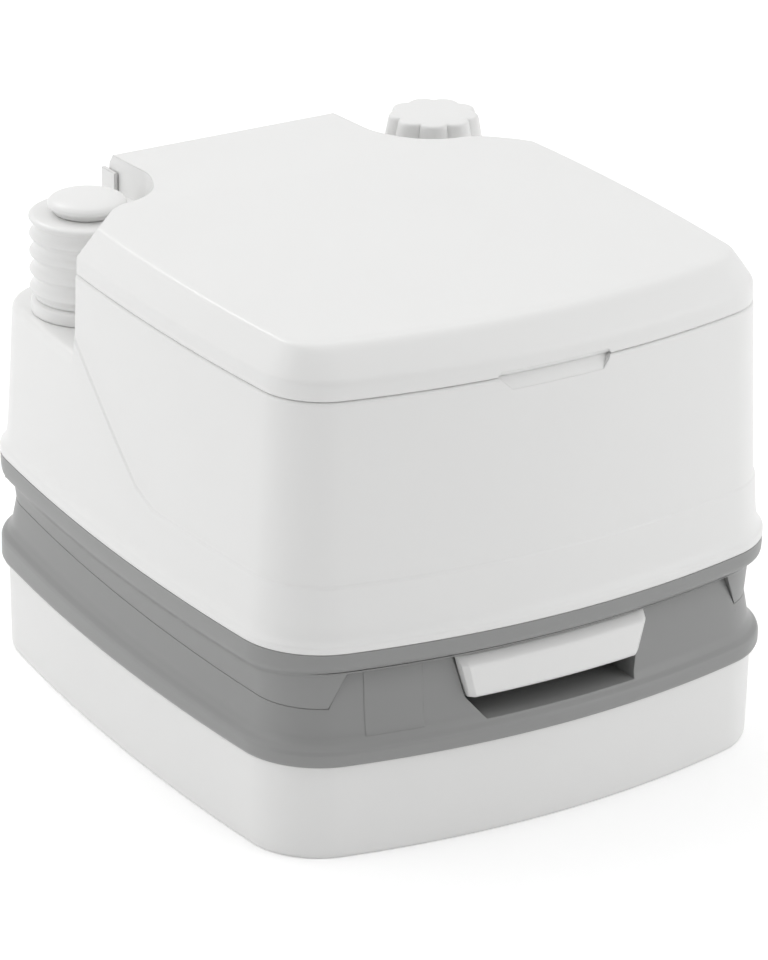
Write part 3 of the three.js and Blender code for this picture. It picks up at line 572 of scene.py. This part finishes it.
def build_waste_top():
    def rim_levels(station):
        rows = tilted(station, WAIST_ROWS + [(SEAM_MIDDLE, WAIST_INSET, 0.0)])
        return [(BASE_TOP + 0.05, 0.8), (BASE_TOP + 1.6, 0, 1.0)] + rows

    rim = shell_loft(rim_levels)
    deck_well = shell_loft([(DECK_TOP, 14.5), (SEAM + 3, 14.5)])
    well_front = block(-220, 220, -REAR, POCKET_BACK_Y + WALL, DECK_TOP - 1, SEAM + 4)
    panel_keep = slanted_panel(
        PANEL_HALF_TOP, PANEL_HALF_LOW, PANEL_TOP + 1, SEAM - 12, -REAR, POCKET_BACK_Y + WALL)
    well = cut(deck_well, overlap(well_front, panel_keep))
    body = cut(rim, well)
    body = join(body, front_panel(0), label_pad())
    hollow = shell_loft([
        (BASE_TOP - 1, 7.4), (67, 7.4), (69, 3.2), (70.5, 3.4), (76, 7.4), (82, 11.2),
        (DECK_TOP - WALL, 14)])
    cavity = cut(join(hollow, front_panel(WALL)), pocket_volume(WALL), recess_volume(WALL))
    stem_slot = block(-31, 31, POCKET_BACK_Y - 1, POCKET_BACK_Y + WALL + 1, 100.8, 104.7)
    body = cut(
        body, pocket_volume(0), recess_volume(0), cavity, stem_slot,
        disc(OUTLET, 50, DECK_TOP - 6, DECK_TOP + 2),
        disc(SPOUT[:2], 18, RECESS[3] - 6, RECESS[3] + 2),
        disc(VENT, 3.6, DECK_TOP - 6, DECK_TOP + 2, 24))
    lug = block(-110, -96, 198, 209, 97.6, 101)
    finish_piece(join(body, lug), "waste_tank_shell", "grey_plastic", "waste_section",
                 ["waste_tank_top"])


def build_handle():
    """A bar that follows the bowed front, with a drawn-back top strip and tapered ends."""
    around = [s for s in stations() if s.at(0)[1] < -150]
    around.sort(key=lambda s: s.at(0)[0])

    def front_y(x, inset):
        points = [s.at(inset) for s in around]
        for (xa, ya), (xb, yb) in zip(points, points[1:]):
            if xa <= x <= xb:
                return ya + (yb - ya) * (x - xa) / (xb - xa)
        return points[0][1]

    bottom = low("valve_handle").z
    top = high("valve_handle").z
    back_y = high("valve_handle").y
    section = softened([
        (bottom, 14), (bottom, 5.5, 1.5), (bottom + 2.5, 3.3, 2.0), (top - 5.6, 3.3, 1.2),
        (top - 2.2, 7.0, 1.5), (top, 9.5, 1.5), (top, 14)])
    half_low = 61.3
    half_top = 69.0
    taper = 2.8
    steps = 38
    rings = []
    for i in range(steps + 1):
        u = -1 + 2 * i / steps
        ring = []
        for z, inset in section:
            half = half_low + (half_top - half_low) * (z - bottom) / (top - bottom)
            x = u * half
            near_end = max(0.0, abs(x) - (half - taper)) / taper
            y = front_y(x, inset) + taper * near_end
            ring.append((x, min(y, back_y), z))
        ring.append((u * half_top, back_y, top))
        ring.append((u * half_low, back_y, bottom))
        rings.append(ring)
    finish_piece(swept(rings), "valve_grip", "white_plastic", "valve_slide", ["valve_handle"])


# ---------- flush section ----------
def build_floor_band():
    """The skirt under the band turns out more sharply at the front than along the flanks."""
    def levels(station):
        front = min(1.0, max(0.0, -station.facing.y * 1.3 - 0.2))
        turn_z = 118.0 + 3.6 * front
        skirt = tilted(station, [(SEAM_MIDDLE + GAP, WAIST_INSET, 0.0)])
        return skirt + [
            (turn_z, 8.5, 6.0 - 4.4 * front), (turn_z + 6.5, 0.9, 3.5), (BAND_TOP - 6, 0.2, 2),
            (SHELL_BOTTOM - 0.06, 0.2)]

    outer = shell_loft(levels)
    above = shell_loft([(FLOOR_TOP, 4.4), (127, 3.2), (BAND_TOP + 1, 3.2)])
    below = shell_loft([(90, 14), (FLOOR_UNDER, 13)])
    front_gap = slanted_panel(
        PANEL_HALF_TOP + 0.6, PANEL_HALF_LOW + 0.6, FLOOR_UNDER, 94.0, -REAR, -150)
    rear_gap = block(RECESS[0], RECESS[1], 150, REAR, 90, FLOOR_UNDER)
    outlet = disc(OUTLET, 53.6, FLOOR_UNDER - 1, FLOOR_TOP + 1)
    body = cut(outer, above, below, front_gap, rear_gap, outlet)
    finish_piece(body, "flush_floor_band", "grey_plastic", "flush_section", ["flush_tank_floor"])


def ridge_height(y):
    """The step in the wall is level round the front and climbs towards the rear on each flank."""
    start_y = -22.7
    slope = 0.755
    blend = 11.0
    run = y - start_y
    if run <= -blend:
        rise = 0.0
    elif run < blend:
        rise = slope * (run + blend) ** 2 / (4 * blend)
    else:
        rise = slope * run
    return min(RIDGE + rise, STEP_HIGHEST)


def wall_inset(z):
    """How far the upper wall leans in at a height, below the step."""
    points = [(154, 5.0), (RIDGE, 6.5), (SHELF, 9.4), (SHELL_TOP - 2, 11.7)]
    for (za, a), (zb, b) in zip(points, points[1:]):
        if z <= zb:
            return a + (b - a) * (z - za) / (zb - za)
    return points[-1][1]


def shell_levels(station):
    ridge = ridge_height(station.at(6.5)[1])
    levels = [(SHELL_BOTTOM, 0.5), (SHELL_BOTTOM + 0.6, 0, 0.4), (143.6, 0, 1.2), (145.6, 2.0, 1.8),
              (149.5, 4.0, 3), (156, 5.1, 5)]
    for share in (0.33, 0.66):
        z = 156 + (ridge - 156) * share
        levels.append((z, wall_inset(z)))
    levels.append((ridge - 0.9, wall_inset(ridge - 0.9), 0.5))
    levels.append((ridge + 0.5, wall_inset(ridge) + STEP_DEPTH, 0.5))
    for share in (0.33, 0.66):
        z = ridge + (SHELL_TOP - 2 - ridge) * share
        levels.append((z, wall_inset(z) + STEP_DEPTH))
    levels.append((SHELL_TOP - 1.4, TOP_INSET - 0.3, 1.0))
    levels.append((SHELL_TOP, TOP_INSET + 1.2))
    return levels


def notch_plan(inset, flank_x):
    """What stays of the shell beside the notch; in front it reaches past the flank."""
    half = [(0.0, -REAR), (flank_x, -REAR)]
    half += shoulder(flank_x, inset)
    half += notch_edge(inset)
    half += [(TAIL_HALF - inset, REAR + 10), (0.0, REAR + 10)]
    return both_sides(half)


def pump_notch():
    """Room for the pump: over a shelf with a soft outer edge, behind the slanted wall."""
    floor = SHELF - 14
    region = block(-REAR, -CHEEK_OUT, NOTCH_FRONT_Y, REAR, floor, 340)
    rings = []
    for z, lean in ((floor - 1, wall_inset(floor)), (SHELF, wall_inset(SHELF)),
                    (SHELL_TOP, TOP_INSET - 0.2), (341, TOP_INSET - 0.2)):
        flank_x = LID_SIDE + TOP_INSET - lean + 0.1
        rings.append([(x, y, z) for x, y in notch_plan(-NOTCH_GAP, flank_x)])
    shelf = shell_loft([
        (floor - 2, wall_inset(floor) - 0.1), (SHELF, wall_inset(SHELF) - 0.1, 6.0), (SHELF, 40.0)])
    return cut(region, stack(rings), shelf)


def pump_notch_lining():
    """The notch grown by one wall, kept out of the tank's inside."""
    region = block(-REAR, -CHEEK_OUT + WALL, NOTCH_FRONT_Y - WALL, REAR, SHELF - WALL, 340)
    plan = notch_plan(WALL - NOTCH_GAP, REAR)
    return cut(region, prism(plan, SHELF - WALL - 1, 341))


def finger_recess():
    """A shallow scoop in the front wall under the lid's finger notch."""
    section = [(FINGER_LEFT + 11, 287.5), (FINGER_RIGHT - 7, 287.5), (FINGER_RIGHT, 297.5),
               (FINGER_LEFT, 297.5)]
    keep = shell_loft([(285, 11.4), (287.5, 12.2, 2.0), (293, 15.8, 3.0), (298, 18.0)])
    return cut(deep_prism(section, -REAR, -150), keep)


def finger_keep():
    """Material that stays behind the finger scoop."""
    return block(
        FINGER_LEFT - FINGER_KEEP, FINGER_RIGHT + FINGER_KEEP, -212, -190, 282, SHELL_TOP)


BOWL_LEVELS = [
    (118, 50, 50, 5), (126.6, 50, 50, 5), (142, 53, 55, 4), (160, 64, 70, -6),
    (200, 84, 100, -20), (250, 101, 125, -30), (296.6, 110, 137, -35),
]


def smooth_levels(levels, steps=5):
    """Adds levels between the given ones on a smooth curve through them."""
    out = []
    for i in range(len(levels) - 1):
        p0 = levels[max(i - 1, 0)]
        p1 = levels[i]
        p2 = levels[i + 1]
        p3 = levels[min(i + 2, len(levels) - 1)]
        for s in range(steps):
            t = s / steps
            out.append(tuple(
                0.5 * (2 * b + (c - a) * t + (2 * a - 5 * b + 4 * c - d) * t * t
                       + (3 * b - a - 3 * c + d) * t ** 3)
                for a, b, c, d in zip(p0, p1, p2, p3)))
    out.append(levels[-1])
    return out


def build_upper_shell():
    body = cut(shell_loft(shell_levels), pump_notch())
    cheeks = [
        block(*span(s, CHEEK_IN, CHEEK_OUT), CHEEK_FRONT_Y, CHEEK_REAR_Y, SHELL_TOP - 4, CHEEK_TOP)
        for s in (-1, 1)]
    neck = disc(FILLER, 21, SHELL_TOP - 1, 312)
    body = join(body, *cheeks, neck)
    well_floor = block(-CHEEK_IN - WALL, CHEEK_IN + WALL, 175, 205, 286, SHELL_TOP)
    inner = cut(
        shell_loft([
            (SHELL_BOTTOM - 1, 3.2), (145, 3.2), (150, 7), (RIDGE, 9.8),
            (SHELL_TOP - WALL, TOP_INSET + WALL)]),
        pump_notch_lining(), well_floor, finger_keep())
    bowl_hole = ellipse_loft([(SHELL_TOP - 5, 110, 137, -35), (SHELL_TOP + 2, 110, 137, -35)], 3.5)
    body = cut(
        body, inner,
        block(-CHEEK_IN, CHEEK_IN, 178, REAR, 289, SHELL_TOP + 1),
        bowl_hole, disc(FILLER, 17.5, SHELL_TOP - 6, 313), disc(PUMP, 28.6, SHELF - 5, SHELF + 1),
        finger_recess())
    finish_piece(body, "upper_shell_skin", "white_plastic", "flush_section", ["upper_shell"])


def build_bowl():
    outer_levels = [(z, a + WALL, b + WALL, m) for z, a, b, m in BOWL_LEVELS]
    outside = ellipse_loft(smooth_levels(outer_levels))
    flange = ellipse_loft([(SHELL_TOP + GAP, 110, 137, -35), (SHELL_TOP + 2.3, 110, 137, -35)], 8)
    inside_levels = [(116, 50, 50, 5)] + BOWL_LEVELS[:-1] + [(299.6, 110, 137, -35)]
    inside = ellipse_loft(smooth_levels(inside_levels))
    nozzle_hole = nozzle_rod(5.4, -12, 14)
    body = cut(join(outside, flange), inside, nozzle_hole)
    finish_piece(body, "bowl_skin", "white_plastic", "flush_section", ["toilet_bowl"])


def nozzle_rod(radius, start, end):
    angle = math.radians(128)
    centre = Vector((107 * math.cos(angle), -33 + 133 * math.sin(angle), 278))
    along = Vector((math.cos(angle), math.sin(angle), 0))
    across = Vector((-along.y, along.x, 0))
    ring = [(a, b) for a, b in circle((0, 0), radius, 32)]

    def place(a, b, reach):
        return tuple(centre + across * a + Vector((0, 0, b)) + along * reach)

    return extrude(ring, start, end, place)


# ---------- pump ----------
BELLOWS_LOW = low("pump_bellows").z
BELLOWS_HIGH = high("pump_bellows").z
RIBS = 4


def build_pump_collar():
    outer = turned([
        (190, 20), (190, 28, 1), (SHELF + GAP, 28), (SHELF + GAP, 36.2, 0.5),
        (SHELF + 2, 36.4, 0.8), (BELLOWS_LOW - 2.2, 36.4, 1.6), (BELLOWS_LOW - GAP, 33, 0.5),
        (BELLOWS_LOW - GAP, 30)], PUMP)
    inner = disc(PUMP, 25.5, 193, BELLOWS_LOW + 2)
    body = cut(outer, inner, disc(PUMP, 3.4, 188, 196, 24))
    finish_piece(body, "pump_collar", "white_plastic", "flush_section", ["pump_body"])


def build_bellows():
    """Four fin-like ribs under a wider top flange."""
    ribs_top = BELLOWS_HIGH - 8
    pitch = (ribs_top - BELLOWS_LOW) / RIBS
    profile = [(BELLOWS_LOW, 30.0), (BELLOWS_LOW, 34.0)]
    for k in range(RIBS):
        for s in range(1, 13):
            off = (s / 12 - 0.5) * pitch
            z = BELLOWS_LOW + (k + 0.5) * pitch + off
            profile.append((z, 34.1 + 3.2 * math.exp(-(off / 2.3) ** 2)))
    profile += [
        (ribs_top + 2.4, 34.2, 1.5), (ribs_top + 4.6, 37.5, 1.0), (BELLOWS_HIGH - 1.4, 37.6, 1.4),
        (BELLOWS_HIGH, 35.0, 1.4), (BELLOWS_HIGH, 8.0)]
    outer = turned(profile, PUMP)
    body = cut(outer, disc(PUMP, 29.5, BELLOWS_LOW - 1, BELLOWS_HIGH - 2.5))
    finish_piece(body, "bellows_skin", "white_plastic", "flush_section", ["pump_bellows"])
    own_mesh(body)


def build_button():
    base = low("pump_button").z
    top = high("pump_button").z
    rim = 25.4
    profile = [(base, 18), (base, 21.5, 1), (base + 3.6, 22.8, 1.5), (base + 4.4, rim, 0.6),
               (base + 6.8, rim, 1.2)]
    dome_start = base + 7.2
    for i in range(1, 13):
        t = i / 13 * PI / 2
        profile.append((dome_start + (top - dome_start) * math.sin(t), (rim - 0.8) * math.cos(t)))
    profile.append((top, 1.0))
    finish_piece(turned(profile, PUMP), "pump_button_dome", "white_plastic", "pump_plunger",
                 ["pump_button"])


def build_vent_spring():
    """A wire coil of three turns."""
    bottom = low("vent_spring").z + 0.6
    top = high("vent_spring").z - 0.6
    turns = 3
    wire = 0.6
    radius = 6.0
    steps = turns * 28
    sides = 10
    rings = []
    for i in range(steps + 1):
        angle = 2 * PI * turns * i / steps
        out = Vector((math.cos(angle), math.sin(angle), 0))
        centre = Vector((VENT[0], VENT[1], bottom + (top - bottom) * i / steps)) + out * radius
        ring = []
        for j in range(sides):
            around = 2 * PI * j / sides
            lift = Vector((0, 0, wire * math.sin(around)))
            ring.append(tuple(centre + out * wire * math.cos(around) + lift))
        rings.append(ring)
    spring = finish_piece(swept(rings), "vent_spring_coil", "steel", "waste_section",
                          ["vent_spring"])
    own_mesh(spring)


# ---------- seat and lid ----------
def lid_levels(shrink):
    """Flanks carry a flat bevel; the front rolls over more softly."""
    flank = [(LID_BOTTOM, 13.0), (LID_BOTTOM + 0.7, 12.6, 0.5), (307.3, 13.0, 2.4),
             (325.4, 25.8, 2.0), (LID_TOP, 33.0, 3.0), (LID_TOP, 40.0)]
    front = [(LID_BOTTOM, 13.0), (LID_BOTTOM + 0.7, 12.6, 0.5), (307.3, 13.0, 3.6),
             (325.0, 29.0, 5.5), (LID_TOP, 37.0, 4.0), (LID_TOP, 40.0)]

    def levels(station):
        lean = station.facing.x ** 2
        lean = lean * lean * (3 - 2 * lean)
        out = []
        for a, b in zip(flank, front):
            mixed = [p * lean + q * (1 - lean) for p, q in zip(a, b)]
            mixed[0] -= shrink if mixed[0] > LID_BOTTOM + 1 else 0
            mixed[1] += shrink
            out.append(tuple(mixed))
        if shrink:
            out[0] = (LID_BOTTOM - 1, out[0][1])
            out[1] = (LID_BOTTOM + 0.8, out[1][1])
        return out

    return levels


def tail_slope(drop):
    """Everything over the top line, which falls to the tail and drops steeply at its end."""
    section = [(90, LID_TOP - drop), (193.5 - drop / 2, 322.0 - drop), (210 - drop, 298.2 - drop / 3),
               (REAR, 298.2 - drop / 3), (REAR, 360), (90, 360)]
    return cross_prism(section, -220, 220)


def side_rod(side, radius, near, far):
    return rod(radius, *span(side, near, far), HINGE_Y, HINGE_Z)


def lid_finger_notch():
    """A slanting relief in the lid's lower front edge."""
    section = [(FINGER_LEFT, 295), (FINGER_RIGHT, 295), (FINGER_RIGHT - 4, 300.2),
               (FINGER_LEFT + 4, 300.2)]
    keep = shell_loft([(294, 15.6), (297, 15.0), (301, 11.0)])
    return cut(deep_prism(section, -REAR, -150), keep)


def corner_facet(side, drop):
    """What is planed off the lid where the bevel turns round the shoulder, side -1 or 1."""
    facing = Vector((0.593 * side, 0.5775, 0.5606)).normalized()
    across = facing.cross(Vector((0, 0, 1))).normalized()
    along = facing.cross(across)
    middle = Vector((158.5 * side, 75.4, 325.6))
    square = [(-60, -60), (60, -60), (60, 60), (-60, 60)]

    def place(a, b, reach):
        return tuple(middle + across * a + along * b + facing * reach)

    plane = extrude(square, -drop, 60, place)
    return overlap(plane, block(*span(side, 134.0, REAR), 60, 112, 290, 345))


def build_lid():
    outer = overlap(shell_loft(lid_levels(0), BEYOND_OUTLINE), prism(lid_plan(0), LID_BOTTOM - 1, 340))
    outer = cut(outer, tail_slope(0), lid_finger_notch(), corner_facet(-1, 0), corner_facet(1, 0))
    inner = overlap(
        shell_loft(lid_levels(LID_WALL), BEYOND_OUTLINE), prism(lid_plan(LID_WALL), LID_BOTTOM - 2, 340))
    notch_keep = cut(
        block(FINGER_LEFT - FINGER_KEEP, FINGER_RIGHT + FINGER_KEEP, -REAR, -180, 290, 304),
        shell_loft([(289, 17.2), (305, 17.2)]))
    inner = cut(
        inner, tail_slope(LID_WALL), notch_keep, corner_facet(-1, LID_WALL),
        corner_facet(1, LID_WALL))
    body = cut(outer, inner)
    bosses = [side_rod(s, KNUCKLE_RADIUS, 70.2, TAIL_HALF - 1.5) for s in (-1, 1)]
    bores = [side_rod(s, PIN_BORE, 60, TAIL_HALF + 1) for s in (-1, 1)]
    rear_lift = block(-90, 90, HINGE_Y + 6, REAR, LID_BOTTOM - 2, HINGE_Z)
    body = cut(join(body, *bosses), *bores, rear_lift)
    finish_piece(body, "lid_skin", "white_plastic", "lid", ["lid"])


def build_hinge_pins():
    """Steel pins with turned ends, from the seat's arm to the outside of the cheek."""
    for name, side in (("left", -1), ("right", 1)):
        near, far = span(side, 61.0, CHEEK_OUT - 0.6)
        profile = softened([
            (near, 1.0), (near, PIN_RADIUS, 0.5), (far, PIN_RADIUS, 0.5), (far, 1.0)])
        rings = []
        for x, radius in profile:
            rings.append([(x, a, b) for a, b in circle((HINGE_Y, HINGE_Z), radius, 32)])
        pin = stack(rings)
        finish_piece(pin, "hinge_pin_turned_" + name, "steel", "flush_section",
                     ["hinge_pin_" + name])


SEAT_LOW = 299.0
SEAT_HIGH = 316.0
SEAT_SIDE = 5.0
SEAT_REAR_Y = 177.0
SEAT_OPENING = [
    (SEAT_LOW - 1, 104, 130, -35), (305, 102, 128, -35), (313, 106, 132, -35),
    (SEAT_HIGH + 1, 113, 139, -35),
]


def build_seat():
    edge = shell_loft([
        (SEAT_LOW, TOP_INSET + SEAT_SIDE), (305, TOP_INSET + SEAT_SIDE, 2),
        (313, TOP_INSET + SEAT_SIDE + 6.5, 5), (SEAT_HIGH, TOP_INSET + SEAT_SIDE + 11, 2),
        (SEAT_HIGH, TOP_INSET + SEAT_SIDE + 14)], BEYOND_OUTLINE)
    plan = prism(lid_plan(SEAT_SIDE), SEAT_LOW - 1, SEAT_HIGH + 1)
    front = block(-220, 220, -REAR, SEAT_REAR_Y, SEAT_LOW - 2, SEAT_HIGH + 2)
    outer = overlap(edge, plan, front)
    under = overlap(
        shell_loft([
            (SEAT_LOW - 2, TOP_INSET + SEAT_SIDE + 3), (305, TOP_INSET + SEAT_SIDE + 3),
            (SEAT_HIGH - 5, TOP_INSET + SEAT_SIDE + 9)], BEYOND_OUTLINE),
        prism(lid_plan(SEAT_SIDE + 3), SEAT_LOW - 2, SEAT_HIGH),
        block(-220, 220, -REAR, SEAT_REAR_Y - 3, SEAT_LOW - 3, SEAT_HIGH))
    lip = ellipse_loft(smooth_levels(SEAT_OPENING), 5)
    bumper_x = high("seat_bumper_right").x - 6
    bumper_y = low("seat_bumper_right").y + 6
    bosses = [disc((s * bumper_x, bumper_y), 8, SEAT_LOW, SEAT_HIGH - 4) for s in (-1, 1)]
    under = cut(under, lip, *bosses)
    arms = [
        block(*span(s, ARM_NEAR_X, ARM_FAR_X), SEAT_REAR_Y - 2, HINGE_Y, HINGE_Z - 5, HINGE_Z + 5)
        for s in (-1, 1)]
    knuckles = [side_rod(s, KNUCKLE_RADIUS, ARM_NEAR_X, ARM_FAR_X) for s in (-1, 1)]
    bores = [side_rod(s, PIN_BORE, 58, 72) for s in (-1, 1)]
    body = join(cut(outer, under), *arms, *knuckles)
    body = cut(body, ellipse_loft(smooth_levels(SEAT_OPENING)), *bores)
    finish_piece(body, "seat_skin", "white_plastic", "seat", ["seat"])


# ---------- filler cap ----------
def build_filler_cap():
    """A knob of nine broad lobes between narrow flutes, with a crisp rim round a flat top."""
    lobes = 9
    flute = math.radians(57.5)
    steps = 180
    top = high("filler_cap").z
    bottom = low("filler_cap").z
    profile = softened([
        (bottom, 33.0), (bottom + 0.8, 33.8, 0.6), (306, 32.6, 6), (top - 2.4, 28.2, 1.2),
        (top - 0.6, 27.2, 1.0), (top, 24.0, 2.0), (top, 14.0)])
    rings = []
    for z, mean in profile:
        depth = 1.9 - 0.9 * (top - z) / (top - bottom)
        depth *= min(1.0, max(0.0, (mean - 14.0) / 9.0))
        ring = []
        for i in range(steps):
            angle = flute + 2 * PI * i / steps
            wave = abs(math.sin(lobes / 2 * (angle - flute))) ** 0.8
            reach = mean - depth + 2 * depth * wave
            ring.append((FILLER[0] + reach * math.cos(angle), FILLER[1] + reach * math.sin(angle), z))
        rings.append(ring)
    body = cut(stack(rings), disc(FILLER, 21.5, 296, 314.6))
    finish_piece(body, "filler_cap_skin", "white_plastic", "filler_cap", ["filler_cap"])


# ---------- studio ----------
WORLD_BRIGHT = 1.2
WORLD_DIM = 0.2
ZENITH_SHARE = 0.86
GLOW_SEEN = 0.2
GLOW_SHED = 0.06


def stage_floor():
    """A pale sheet that lies flat under the toilet and curves up far behind it."""
    profile = [(y, 0.0) for y in (-9.0, -4.0, -1.0, 0.0, 1.0, 4.0, 7.0)]
    for step in range(1, 13):
        angle = step / 12 * PI / 2
        profile.append((7.0 + 3.0 * math.sin(angle), 3.0 - 3.0 * math.cos(angle)))
    profile.append((10.0, 9.0))
    turn = Matrix.Rotation(CAMERA_AZIMUTH, 4, "Z")
    verts = [tuple(turn @ Vector((x, y, z))) for y, z in profile for x in (-12.0, 12.0)]
    faces = [(2 * i, 2 * i + 1, 2 * i + 3, 2 * i + 2) for i in range(len(profile) - 1)]
    mesh = bpy.data.meshes.new("floor_sheet")
    mesh.from_pydata(verts, [], faces)
    floor = bpy.data.objects.new("floor_sheet", mesh)
    bpy.context.scene.collection.objects.link(floor)
    for face in mesh.polygons:
        face.use_smooth = True
    paper = surface("floor_paper", (0.93, 0.93, 0.93), 0.85, 0.003, 0.0, patch=3.0)
    tree = paper.node_tree
    glow = tree.nodes["Principled BSDF"]
    glow.inputs["Emission Color"].default_value = (1, 1, 1, 1)
    path = tree.nodes.new("ShaderNodeLightPath")
    strength = between(tree, path.outputs["Is Camera Ray"], GLOW_SHED, GLOW_SEEN)
    tree.links.new(strength, glow.inputs["Emission Strength"])
    mesh.materials.append(paper)


def softbox(name, place, size, watts):
    """A square lamp that faces the object."""
    data = bpy.data.lights.new(name, "AREA")
    data.shape = "SQUARE"
    data.size = size
    data.energy = watts
    lamp = bpy.data.objects.new(name, data)
    lamp.location = place
    lamp.rotation_euler = (Vector((0, 0, 0.2)) - lamp.location).to_track_quat("-Z", "Y").to_euler()
    bpy.context.scene.collection.objects.link(lamp)


def remap(tree, source, start, end):
    """A smooth change between two (input, output) pairs."""
    node = tree.nodes.new("ShaderNodeMapRange")
    node.interpolation_type = "SMOOTHSTEP"
    node.inputs["From Min"].default_value = start[0]
    node.inputs["From Max"].default_value = end[0]
    node.inputs["To Min"].default_value = start[1]
    node.inputs["To Max"].default_value = end[1]
    tree.links.new(source, node.inputs["Value"])
    return node.outputs["Result"]


def light_studio():
    """A white room, darker behind the camera and a little darker overhead, with three softboxes."""
    world = bpy.data.worlds.new("studio")
    bpy.context.scene.world = world
    world.use_nodes = True
    tree = world.node_tree
    sky = tree.nodes["Background"]
    place = tree.nodes.new("ShaderNodeTexCoord")
    facing = tree.nodes.new("ShaderNodeVectorMath")
    facing.operation = "DOT_PRODUCT"
    facing.inputs[1].default_value = Vector((CAMERA_BACK.x, CAMERA_BACK.y, 0.0)).normalized()
    tree.links.new(place.outputs["Generated"], facing.inputs[0])
    around = remap(tree, facing.outputs["Value"], (0.35, WORLD_BRIGHT), (0.85, WORLD_DIM))
    parts = tree.nodes.new("ShaderNodeSeparateXYZ")
    tree.links.new(place.outputs["Generated"], parts.inputs["Vector"])
    above = remap(tree, parts.outputs["Z"], (0.45, 1.0), (1.0, ZENITH_SHARE))
    strength = tree.nodes.new("ShaderNodeMath")
    strength.operation = "MULTIPLY"
    tree.links.new(around, strength.inputs[0])
    tree.links.new(above, strength.inputs[1])
    tree.links.new(strength.outputs["Value"], sky.inputs["Strength"])
    sky.inputs["Color"].default_value = (1, 1, 1, 1)
    softbox("left_box", (-1.9, 0.5, 1.7), 1.6, 4.0)
    softbox("right_box", (1.5, -1.7, 1.2), 1.2, 5.0)
    softbox("rear_box", (-0.25, 1.6, 1.75), 0.6, 6.0)
    view = bpy.context.scene.view_settings
    view.view_transform = "Standard"
    view.look = "None"


def place_camera():
    data = bpy.data.cameras.new("camera")
    data.lens = CAMERA_LENS
    data.sensor_width = 36.0
    data.clip_end = 60.0
    camera = bpy.data.objects.new("camera", data)
    camera.location = CAMERA_TARGET + CAMERA_BACK * CAMERA_DISTANCE
    aim = (-CAMERA_BACK).to_track_quat("-Z", "Y").to_matrix()
    camera.rotation_euler = (aim @ Matrix.Rotation(CAMERA_ROLL, 3, "Z")).to_euler()
    bpy.context.scene.collection.objects.link(camera)
    bpy.context.scene.camera = camera


for node_name, node_object in NODES.items():
    dress(node_object, SLOT_OF[node_name])

build_base()
build_waste_top()
build_handle()
build_floor_band()
build_upper_shell()
build_bowl()
build_pump_collar()
build_bellows()
build_button()
build_vent_spring()
build_lid()
build_hinge_pins()
build_seat()
build_filler_cap()
stage_floor()
light_studio()
place_camera()
